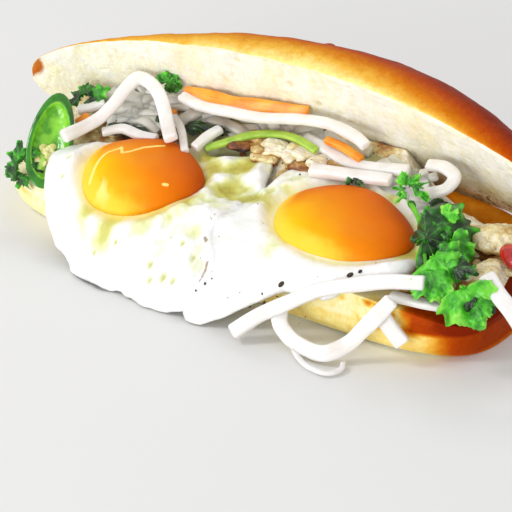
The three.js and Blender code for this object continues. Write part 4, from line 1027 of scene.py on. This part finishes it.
def chicken():
    """The meat layer: a superellipse in plan with the solids' top height, roughened into fibres and
    clods, held under the plane of the tilted crumb, over a flat underside; torn slices lie on it
    where it shows."""
    rings, columns = 100, 420
    share = outward_shares(rings)
    angle = around(columns)
    half_length = CHICKEN_PLAN["share"] * BASE["half_length"]
    half_width = CHICKEN_PLAN["share"] * BASE["half_width"] - CHICKEN_PLAN["inset"]
    x = BASE["centre_x"] + share * half_length * signed_power(np.cos(angle), CHICKEN_PLAN["power"])
    y = share * half_width * signed_power(np.sin(angle), CHICKEN_PLAN["power"])
    ground = flat_points(x, y)
    clods = 0.9 * rough(ground * np.array([0.7, 1, 1]), 5, 151, 4) * smooth(1 - share, 0, 0.03)
    middle, _, _, to_rim, _ = lid_station(np.clip(x, -98, 103))
    under_lid = middle[..., 2] - (y - middle[..., 1]) * to_rim[..., 2] / -to_rim[..., 1] - 2.5
    top = np.maximum(np.minimum(chicken_top(x, y) + clods - 0.3, under_lid), BASE["cut"] + 0.9)
    layer = lens_grid(np.stack([x, y, top], -1), np.stack([x, y, 0 * x + BASE["cut"] + 0.3], -1))
    char = 0.42 + 0.35 * clods + 0.22 * lumps(ground, 9, 157) + 0.3 * smooth(x, 56, 66)
    char = char - 0.8 * smooth(y, 7, 12) * smooth(x, 28, 40)
    grids, chars = [layer], [lens_grid(char, char * 0 + 0.4)]
    random = np.random.default_rng(17)
    bits = [(*over(x, y, lift), size, thickness, tone) for x, y, lift, size, thickness, tone in MEAT_BITS]
    for _ in range(MEAT_CRUMBS):
        near_right = random.random() < 0.5
        x = random.uniform(62, 94) if near_right else random.uniform(-18, 26)
        y = random.uniform(-22, 8) if near_right else random.uniform(2, 12)
        size = random.uniform(1.2, 3.4) if near_right else random.uniform(0.6, 1.8)
        bits.append((x, y, float(chicken_top(x, y)) + 0.2, size, 0.4, random.uniform(0.2, 0.8)))
    for number, (x, y, z, size, thickness, tone) in enumerate(bits):
        half_sizes = (size, size * random.uniform(0.55, 0.8), size * thickness)
        turn = random.normal(0, 0.8)
        facing = (random.normal(0, 0.2), -0.4 + random.normal(0, 0.2), 0.9)
        along = (math.cos(turn), math.sin(turn), 0)
        grid, swell = pebble_grid((x, y, z), half_sizes, along, facing, 34, 52, 0.2, number, 0.85)
        grids.append(grid)
        chars.append(tone + 0.8 * (1 - swell) + 0.5 * smooth(z - grid[..., 2], 0, 1.2))
    piece = joined_skins("grilled_chicken_looks", grids, [CHICKEN], {"char": chars})
    add_piece(piece, "chicken", "grilled_chicken")


def direction_frame(along, facing):
    """Rows of a turn: along, sideways, and the side nearest to facing."""
    along = unit(np.array(along, dtype=float))
    sideways = unit(np.cross(np.array(facing, dtype=float), along))
    return np.stack([along, sideways, np.cross(along, sideways)])


def pebble_grid(place, half_sizes, along, facing, rows, columns, relief, seed, power=1.0):
    """An ellipsoid turned to along and facing, roughened by noise along its radius; powers below 1
    square it off."""
    tilt = np.pi * np.linspace(0, 1, rows)[:, None]
    angle = around(columns)
    wide = np.sin(tilt)
    ball = np.stack([np.cos(tilt) + 0 * angle, wide * np.cos(angle), wide * np.sin(angle)], -1)
    ball = signed_power(ball, power) if power < 1 else ball
    swell = 1 + relief * rough(ball * np.array(half_sizes) + 7.0 * seed, 4, 161 + seed, 4)
    points = -ball * np.array(half_sizes) * swell[..., None]
    points[..., 1:] = -points[..., 1:]
    return points @ direction_frame(along, facing) + np.array(place), swell


CHUNKS = [("chicken_chunk_back", (84, 2, 30), (8, 6, 4.5), (0.9, 0.3, 0), (0, -0.2, 1)),
          ("chicken_chunk_front", (88, -11, 24), (6.5, 8, 4.2), (0.9, -0.3, 0), (0.1, -0.2, 1))]


def chunks():
    """Two lumps of meat at the right end: roughened ellipsoids, browner on their bumps and below."""
    for number, (name, place, half_sizes, along, facing) in enumerate(CHUNKS):
        grid, swell = pebble_grid(place, half_sizes, along, facing, 90, 140, 0.16, number)
        marks = {"char": 0.24 + 1.3 * (swell - 1) + 0.3 * smooth(place[2] - grid[..., 2], 0, 3)}
        add_piece(ring_skin(name + "_looks", grid, [CHICKEN], marks), "chicken", name)


def chilli():
    """A flat, lightly roughened ellipsoid on the front chunk."""
    grid, _ = pebble_grid((93, -4, 30), (6, 3.2, 1.6), (0.8, -0.5, -0.1), (0.2, -0.6, 0.7), 50, 70, 0.05, 5)
    add_piece(ring_skin("chilli_slice_looks", grid, [CHILLI]), "chilli", "chilli_slice")


def heap():
    """Many short strips laid at random on the low core that the solids use, and a few on the meat's top
    beside it, with painted shade on each: a random amount, more on the lower strips, and most on the core."""
    random = np.random.default_rng(11)
    grids, patterns, shades = [], [], []
    for number in range(HEAP_STRIPS):
        x = random.uniform(-68, 57)
        y = random.uniform(4, 17)
        if -22 < x < 22:
            y = random.uniform(13, 18)
        if -42 < x <= -22:
            y = random.uniform(10.5, 17)
        if x > 22:
            y = random.uniform(5, 15 - 0.1 * (x - 22))
        if number > LAST_ALONG:
            x, y = random.uniform(-66, -44), random.uniform(1, 9)
        turn = random.normal(0, 0.45)
        half = random.uniform(5, 10)
        low = random.uniform(-3.6, -0.9)
        aside, back = half * math.cos(turn), half * math.sin(turn)
        bend = random.uniform(-0.8, 1.2)
        route = [over(x - aside, y - back, low - 0.8), over(x, y, low + bend),
                 over(x + aside, y + back, low - 0.8)]
        width = random.uniform(2.6, 4.4)
        grid, pattern = strip_grid(route, np.array(UP), width, 0.6 * width, 0, 40 + number, 34, 16)
        grids.append(grid)
        patterns.append(pattern)
        # Painted shade: a random amount on each strip, more the lower it lies.
        shades.append(0 * grid[..., 0] + random.uniform(0, 0.3) + 0.1 * max(0, -1.5 - low))
    for number in range(STRIPS_ON_MEAT):
        x, y = random.uniform(36, 54), random.uniform(11.5, 18)
        half, slant = random.uniform(4.5, 7), random.normal(-0.1, 0.12)
        places = [(x + step * half, y + step * half * slant) for step in (-1, 0, 1)]
        route = [(*place, float(chicken_top(*place)) + 1.3) for place in places]
        grid, pattern = strip_grid(route, np.array(UP), random.uniform(3, 4.2), 2.2, 0, 150 + number, 34, 16)
        grids.append(grid)
        patterns.append(pattern)
        # Painted shade on the strips lying on the meat.
        shades.append(0 * grid[..., 0] + random.uniform(0.1, 0.6))
    rings, columns = 30, 160
    share = outward_shares(rings)
    angle = around(columns)
    x = HEAP_CORE["x"] + share * HEAP_CORE["half_length"] * signed_power(np.cos(angle), HEAP_CORE["power"])
    y = HEAP_CORE["y"] + share * HEAP_CORE["half_width"] * signed_power(np.sin(angle), HEAP_CORE["power"])
    level = filling_height(x, y)
    sunk = HEAP_CORE["sunk"] + 2.6 * share ** 4 - 0.3 * rough(flat_points(x, y), 5, 171)
    sunk = sunk + 0.7 * np.maximum(0, y - HEAP_CORE["y"]) * smooth(x, 28, 44)
    core_top = np.stack([x, y, level - sunk], -1)
    underside = np.minimum(level - HEAP_CORE["underside"], core_top[..., 2] - 0.5)
    core = lens_grid(core_top, np.stack([x, y, underside], -1))
    grids.append(core)
    patterns.append(core * MM)
    # Painted shade: the core, seen only in the gaps, is darkened as if in shadow.
    shades.append(0 * core[..., 0] + 0.9)
    marks = {"grain": patterns, "shade": shades}
    piece = joined_skins("pickle_heap_looks", grids, [DAIKON], marks)
    add_piece(piece, "daikon", "pickle_heap")


# Jalapeno

PEPPER_HALF = {"place": (-72.5, -20.5, 24.5), "half": (16.5, 7.4, 6.6), "along": (-0.26, 0.68, 0.69),
               "facing": (0.6, -0.6, 0.5), "wall": 2.0, "seeds": 11, "seed_sizes": (1.5, 1.2, 0.5)}


def jalapeno():
    """Half a pepper: an ellipsoid's back, a rounded lip, and a hollow set in by the wall, with a
    ridge of pith along it and seeds in its lower part."""
    half = np.array(PEPPER_HALF["half"], dtype=float)
    wall = PEPPER_HALF["wall"]
    rows, columns = 120, 160
    depth = np.linspace(0, 1, rows)[:, None]
    angle = around(columns)
    outer = smooth(0.55 - depth, -0.02, 0.02)
    out_turn = 0.5 * np.pi * np.clip(depth / 0.55, 0, 1)
    in_turn = 0.5 * np.pi * np.clip((1 - depth) / 0.45, 0, 1)
    reach = outer * np.sin(out_turn) + (1 - outer) * np.sin(in_turn) * 0.77
    rise = -outer * np.cos(out_turn) - (1 - outer) * np.cos(in_turn) * 0.52
    x = half[0] * reach * np.cos(angle)
    y = half[1] * reach * np.sin(angle) * (1 - 0.1 * np.cos(angle))
    pith = gauss(y / half[1] - 0.15, 0.3) * (1 - outer) * smooth(reach, 0.95, 0.5) * smooth(x, 6, -8)
    z = half[2] * rise + wall * pith * 0.8 + 2.2
    points = np.stack([x, y, z], -1)
    points = points + (0.35 * rough(points, 4, 181, 3) * (1 - outer))[..., None] * np.array([0, 0, 1])
    turned = direction_frame(PEPPER_HALF["along"], PEPPER_HALF["facing"])
    grid = points @ turned + np.array(PEPPER_HALF["place"])
    marks = {"flesh": smooth(depth, 0.52, 0.6) + 0 * angle, "pith": pith}
    add_piece(ring_skin("jalapeno_half_looks", grid, [JALAPENO], marks), "jalapeno", "jalapeno_half")
    random = np.random.default_rng(21)
    seeds = []
    for number in range(PEPPER_HALF["seeds"]):
        spot = np.array([random.uniform(-10, -2), random.uniform(-2, 3.4), random.uniform(0.2, 1.2)])
        place = spot @ turned + np.array(PEPPER_HALF["place"])
        along = random.normal(size=3)
        sizes, facing = PEPPER_HALF["seed_sizes"], PEPPER_HALF["facing"]
        grid, _ = pebble_grid(place, sizes, along, facing, 10, 14, 0.04, number)
        seeds.append(grid)
    add_piece(joined_skins("jalapeno_seeds", seeds, [SEED]), "jalapeno")


# Leaves

# Each frond: node, place, along, facing, then leaves as along, aside, lift, size, turn, tip, shade, cut;
# shade is painted shade, from a lit bright leaf at 0 to a shaded dark one at 1
FRONDS = [
    ("cilantro_leaf_dark", (76, -10.5, 36), (0.75, 0.45, 0.1), (0.3, -0.65, 0.7),
     [(-8.5, -1.5, 0, 17, -0.1, 0.25, 0.66, 0.22), (-7.5, 2, -1, 9, -1.15, 0, 0.6, 0.35),
      (-8, -2, 0.8, 9, 0.95, 0.2, 0.75, 0.4), (-2, 4.5, 1.2, 4.5, 0.7, -0.3, 0.15, 0.4),
      (0, -3, -0.8, 8.5, -0.5, 0.3, 0.3, 0.3)]),
    ("cilantro_leaf_bright", (82.5, -24, 29.5), (0.8, -0.4, -0.3), (0.2, -0.6, 0.75),
     [(-7, 0, 0.6, 13, 0.12, 0.35, 0.2, 0.3), (-6.5, 2.5, 0, 9, 1.1, 0.2, 0.4, 0.35),
      (-4, -3, -0.4, 10, -0.6, 0.2, 0.3, 0.3), (-1, 3.5, -0.8, 7, 0.9, -0.2, 0.85, 0.4)]),
    ("cilantro_leaf_low", (96, -29.5, 25), (0.7, -0.45, -0.55), (0.3, -0.7, 0.65),
     [(-6.5, -0.5, 0.5, 13, 0.1, 0.3, 0.2, 0.35), (-5, 1.5, -0.8, 10.5, -0.75, 0.1, 0.95, 0.45),
      (-1, 1.5, 0, 8, 0.7, 0.3, 0.3, 0.4)]),
    ("cilantro_leaf_top", (54, -0.2, 37.2), (0.8, -0.3, -0.35), (0.2, -0.7, 0.7),
     [(-4.5, 0, 0, 5.2, 2.6, 0.2, 0.3, 0.8), (-3, 1.5, 0.4, 4.8, 1.9, 0, 0.2, 0.8),
      (-1, 2, 0.2, 5, 1.2, 0.2, 0.45, 0.8), (-1, -1.5, 0.3, 4.8, -1.3, 0.1, 0.25, 0.8),
      (1, 1.5, 0.6, 4.6, 0.5, 0.3, 0.2, 0.8), (2, -1.5, 0, 4.4, -0.7, 0, 0.5, 0.8),
      (-3, -1, 0, 4.2, -2.2, 0, 0.4, 0.8)]),
    ("herb_scrap", (32, 2.2, 33.6), (0.9, 0.3, 0.1), (0, -0.5, 0.85),
     [(-1.6, 0, 0, 3.2, 2.8, 0, 0.6, 0.6), (-0.6, 0.3, 0.1, 3.2, 0.4, 0, 0.8, 0.6),
      (1, -0.3, 0, 2.6, -0.5, 0, 0.7, 0.6)]),
    ("herb_leaf_left", (-76, -31.2, 19), (-0.35, 0.35, 0.85), (0.1, -0.9, 0.45),
     [(-3.5, 0, 0, 6, 2.7, 0.3, 0.6, 0.45), (-1, 2, 0.5, 5.6, 1.4, 0.2, 0.75, 0.45),
      (-1, -2, 0.2, 5.6, -1.5, 0, 0.9, 0.45), (1.5, 1.5, 0.4, 5.4, 0.9, 0.2, 0.55, 0.45),
      (2, -1.5, 0, 5.4, -0.7, 0.2, 0.7, 0.45), (3.5, 0, 0.5, 5, 0.1, 0, 0.5, 0.45)]),
    ("herb_leaf_back_left", (-72.5, 0.6, 32.6), (0.9, 0.35, 0.3), (0.1, -0.6, 0.75),
     [(-4, 0, 0, 5.4, 2.8, 0.2, 0.85, 0.35), (-1.5, 1, 0.3, 5, 1.2, 0, 0.6, 0.35),
      (0, -1, 0.3, 5, -0.9, 0.2, 0.95, 0.35), (1.5, 0.5, 0.4, 5.4, 0.3, 0.1, 0.45, 0.35)]),
    ("herb_leaf_back", (-46, 9.3, 41), (0.7, 0.1, -0.6), (0.3, -0.7, 0.6),
     [(-1.5, 0, 0, 4.6, 2.7, 0, 0.35, 0.3), (-0.5, 0, 0.3, 4.8, 0.2, 0.2, 0.45, 0.3),
      (0, 0.5, 0, 3.6, 1.4, 0, 0.6, 0.3)]),
]
# Dark leaves in the gaps between the strips, partly real leaf and partly painted shade, painted nearly black,
# in plan: x, y, lift, size, turn
GAP_LEAVES = [
    (-41, 6, -0.6, 8.5, 0.1), (-33, 7, -0.6, 8.5, 0.2), (-26, 8, -1, 7, 0.3), (-59, -2, -0.6, 8, 0.1),
    (-52, -1.6, -0.4, 8, -0.1), (-70, -3, -0.6, 7, 0.6), (-69, 3, 0, 6.5, 0.2), (44, 6, -0.5, 7, 0.2),
    (60, 8, -0.6, 8, 0.4), (-46, 6, -0.4, 6, 0.5)]


def frilled_leaf(size, cut, seed):
    """A fan spread from its stalk: noise round the rim notches it into uneven lobes and teeth, deeper
    towards the rim. It is pleated along the veins, crinkled by noise, droops with the square of the
    radius, and its rim waves up and down."""
    rings, columns = 30, 240
    share = outward_shares(rings)
    turn = around(columns) - np.pi
    circle = np.stack([np.cos(turn), np.sin(turn), 0 * turn + 3.7 * seed], axis=-1)
    fan = 0.16 + 0.84 * smooth(np.cos(turn), -0.6, 0.25)
    notch = smooth(rough(circle, 0.5, 211 + seed, 1), -0.35, 0.6)
    teeth = rough(circle, 0.16, 213 + seed, 2)
    radius = size * share * fan * (1 - cut * notch * share ** 1.5) * (1 + 0.13 * teeth * share ** 3)
    x, y = radius * np.cos(turn), (1.05 - 0.7 * cut) * radius * np.sin(turn)
    ground = np.stack([x, y, 0 * x + 17.0 * seed], axis=-1)
    pleat = 0.04 * size * share * np.cos(7 * turn + 0.6 * seed)
    ruffle = 0.1 * size * share ** 3 * np.sin(7 * turn + 3 * rough(circle, 0.9, 217 + seed, 1))
    crinkle = 0.17 * size * share * rough(ground, 0.36 * size, 201, 3)
    height = pleat + ruffle + crinkle
    z = height - 0.22 * size * share ** 2
    half = 0.14 * np.sqrt(np.maximum(0, 1 - share ** 20))
    vein = smooth(np.cos(7 * turn + 0.6 * seed), 0.93, 1) * (1 - 0.6 * share)
    # Painted shade in the low places of the crinkles and ruffles, painted light along the rim.
    fold = smooth(height, 0.12 * size, -0.12 * size) - 0.45 * smooth(share, 0.7, 1) - 0.25
    grid = lens_grid(np.stack([x, y, z + half], -1), np.stack([x, y, z - half], -1))
    return grid, lens_grid(vein, vein), lens_grid(fold, fold)


def turned_about(vectors, axis, angle):
    """Rodrigues' turn of row vectors about a unit axis."""
    axis = np.array(axis, dtype=float)
    along = (vectors @ axis)[..., None] * axis
    return along + math.cos(angle) * (vectors - along) + math.sin(angle) * np.cross(axis, vectors)


def leaves():
    """Each frond's leaves turned in its plane, tipped about their own width, and set on its place."""
    seed = 1
    for name, place, along, facing, rows in FRONDS:
        turned = direction_frame(along, facing)
        grids, veins, folds = [], [], []
        for ahead, aside, lift, size, turn, tip, shade, cut in rows:
            seed += 1
            grid, vein, fold = frilled_leaf(size, cut, seed)
            grid = turned_about(turned_about(grid, (0, 1, 0), tip), (0, 0, 1), turn)
            grids.append((grid + np.array([ahead, aside, lift])) @ turned + np.array(place))
            veins.append(vein)
            # Painted light and shade: the leaf's own shade value plus its creases.
            folds.append(shade + 0.5 * fold)
        piece = joined_skins(name + "_looks", grids, [LEAF], {"vein": veins, "fold": folds})
        add_piece(piece, "herb", name)


def gap_leaves():
    """Dark leaves lying on the filling, seen between the strips, painted nearly black so that they also stand
    in for the shade in the gaps.
    """
    grids, veins, folds = [], [], []
    for number, (x, y, lift, size, turn) in enumerate(GAP_LEAVES):
        grid, vein, fold = frilled_leaf(size, 0.2, 50 + number)
        turned = direction_frame((math.cos(turn), math.sin(turn), 0.1), UP)
        grids.append((grid * np.array([1, 0.5, 0.5]) - np.array([0.4 * size, 0, 0])) @ turned
                     + np.array(over(x, y, lift)))
        veins.append(vein)
        # Painted shade: the fold mark near its darkest.
        folds.append(0.95 + 0.3 * fold)
    add_piece(joined_skins("leaves_between_strips", grids, [LEAF], {"vein": veins, "fold": folds}), "herb")


# Specks of pepper

# The larger specks, in plan, with their sizes
PEPPER_SPECKS = [(30.4, -44.4, 1.0), (33.8, -40.2, 1.15), (53.1, -31.5, 1.1), (55.5, -29.7, 1.0),
                 (9.5, -46.5, 0.6), (28.8, -43.2, 0.35), (33.8, -42.3, 0.4), (43.8, -35.1, 0.35),
                 (18.6, -46.9, 0.4), (21.7, -44.9, 0.35), (26.3, -46.1, 0.4), (11.7, 0.9, 0.4),
                 (16.4, 4.1, 0.5), (7.4, -48.4, 0.45), (11.2, -45.2, 0.35)]
# Large and small specks together
SPECK_COUNT = 50


def egg_top(x, y):
    """Height of the uppermost egg at a place in plan."""
    angle = math.atan2(y - RIGHT_EGG["y"], x - RIGHT_EGG["x"]) % (2 * math.pi)
    reach = math.hypot(x - RIGHT_EGG["x"], y - RIGHT_EGG["y"])
    lift = RIGHT_EGG["lift"] if reach < egg_outline(RIGHT_EGG, np.array([angle]))[0] else 0
    here_x, here_y = np.array([float(x)]), np.array([float(y)])
    top = lift + white_relief(here_x, here_y)[0]
    for yolk in (LEFT_YOLK, RIGHT_YOLK):
        dome = math.sqrt(max(0, 1 - from_yolk(yolk, x, y) ** 2.6))
        top = max(top, yolk["dome"] * dome - 0.4) if dome > 0 else top
    return top


def pepper():
    """The named specks, then small ones at random outside the yolks, as flattened pebbles."""
    random = np.random.default_rng(31)
    specks = list(PEPPER_SPECKS)
    while len(specks) < SPECK_COUNT:
        x, y = random.uniform(-14, 62), random.uniform(-46, 6)
        if min(from_yolk(LEFT_YOLK, x, y), from_yolk(RIGHT_YOLK, x, y)) > 1.05:
            specks.append((x, y, 0.1 + 0.2 * random.random() ** 2))
    grids = []
    for number, (x, y, size) in enumerate(specks):
        place = over(x, y, egg_top(x, y) + 0.3 * size)
        shape = (size, 0.7 * size, 0.5 * size)
        along = random.normal(size=3)
        grids.append(pebble_grid(place, shape, along, (0.1, -0.4, 0.9), 7, 8, 0.12, number)[0])
    add_piece(joined_skins("pepper_specks", grids, [PEPPER]), "chicken")


# Stage

# Viewpoint in millimetres, angles in degrees, and focal length for a picture of that many pixels
VIEW = {"place": (487.36, -680.13, 482.25), "azimuth": 35.887, "elevation": 30.131, "focal_px": 3000,
        "frame_px": 512, "sensor": 36, "near": 0.05, "far": 20}
# Metres and watts from here on: the lit point, then each lamp's name, place, size and power
LIT = (0, 0, 0.03)
LAMPS = [("key", (-0.55, -0.6, 0.95), 0.32, 4), ("front", (0.1, -1.2, 0.1), 0.9, 11.5),
         ("back", (-0.3, 0.8, 0.9), 0.5, 2)]
FLOOR_HALF = 6.0
SKY_STRENGTH = 0.66


def stand(name, held, place, ahead):
    """Stands a camera or a lamp at that place in metres, looking in the direction ahead."""
    holder = bpy.data.objects.new(name, held)
    holder.location = place
    holder.rotation_euler = ahead.to_track_quat("-Z", "Y").to_euler()
    bpy.context.scene.collection.objects.link(holder)
    return holder


def camera():
    """The photo's own viewpoint and lens."""
    azimuth, elevation = math.radians(VIEW["azimuth"]), math.radians(VIEW["elevation"])
    back = Vector((math.sin(azimuth) * math.cos(elevation), -math.cos(azimuth) * math.cos(elevation),
                   math.sin(elevation)))
    eye = bpy.data.cameras.new("view")
    eye.sensor_width = VIEW["sensor"]
    eye.lens = VIEW["focal_px"] * VIEW["sensor"] / VIEW["frame_px"]
    eye.clip_start, eye.clip_end = VIEW["near"], VIEW["far"]
    bpy.context.scene.camera = stand("view", eye, Vector(VIEW["place"]) * MM, -back)


def lamp(name, place, size, power):
    """A round lamp of that size, turned to the middle of the roll."""
    light = bpy.data.lights.new(name, "AREA")
    light.shape = "DISK"
    light.size = size
    light.energy = power
    stand(name, light, place, Vector(LIT) - Vector(place))


def stage():
    """A wide pale floor, a soft even sky and three round lamps."""
    half = FLOOR_HALF
    corners = np.array([(-half, -half, 0), (half, -half, 0), (half, half, 0), (-half, half, 0)]) / MM
    paint = Paint("pale_floor", roughness=0.85, specular_ior_level=0.2)
    paint.colour(paint.mix(paint.noise(400, 1), tint(232, 232, 231), tint(229, 229, 228)))
    no_triangles = np.zeros((0, 3), dtype=int)
    floor = finish_mesh("floor", corners, np.array([[0, 1, 2, 3]]), no_triangles, [paint.material])
    world = bpy.data.worlds.new("soft_sky")
    world.use_nodes = True
    world.node_tree.nodes["Background"].inputs[0].default_value = (1, 1, 1, 1)
    world.node_tree.nodes["Background"].inputs[1].default_value = SKY_STRENGTH
    bpy.context.scene.world = world
    for row in LAMPS:
        lamp(*row)
    bpy.context.scene.view_settings.view_transform = "Standard"


camera()
stage()
lid()
base()
hinge()
egg_white(LEFT_EGG, LEFT_YOLK, "egg_white_left")
egg_white(RIGHT_EGG, RIGHT_YOLK, "egg_white_right")
yolk_dome(LEFT_YOLK, YOLK_FILM, "yolk_left")
yolk_dome(RIGHT_YOLK, [], "yolk_right")
strips()
chicken()
chunks()
chilli()
heap()
jalapeno()
leaves()
gap_leaves()
pepper()
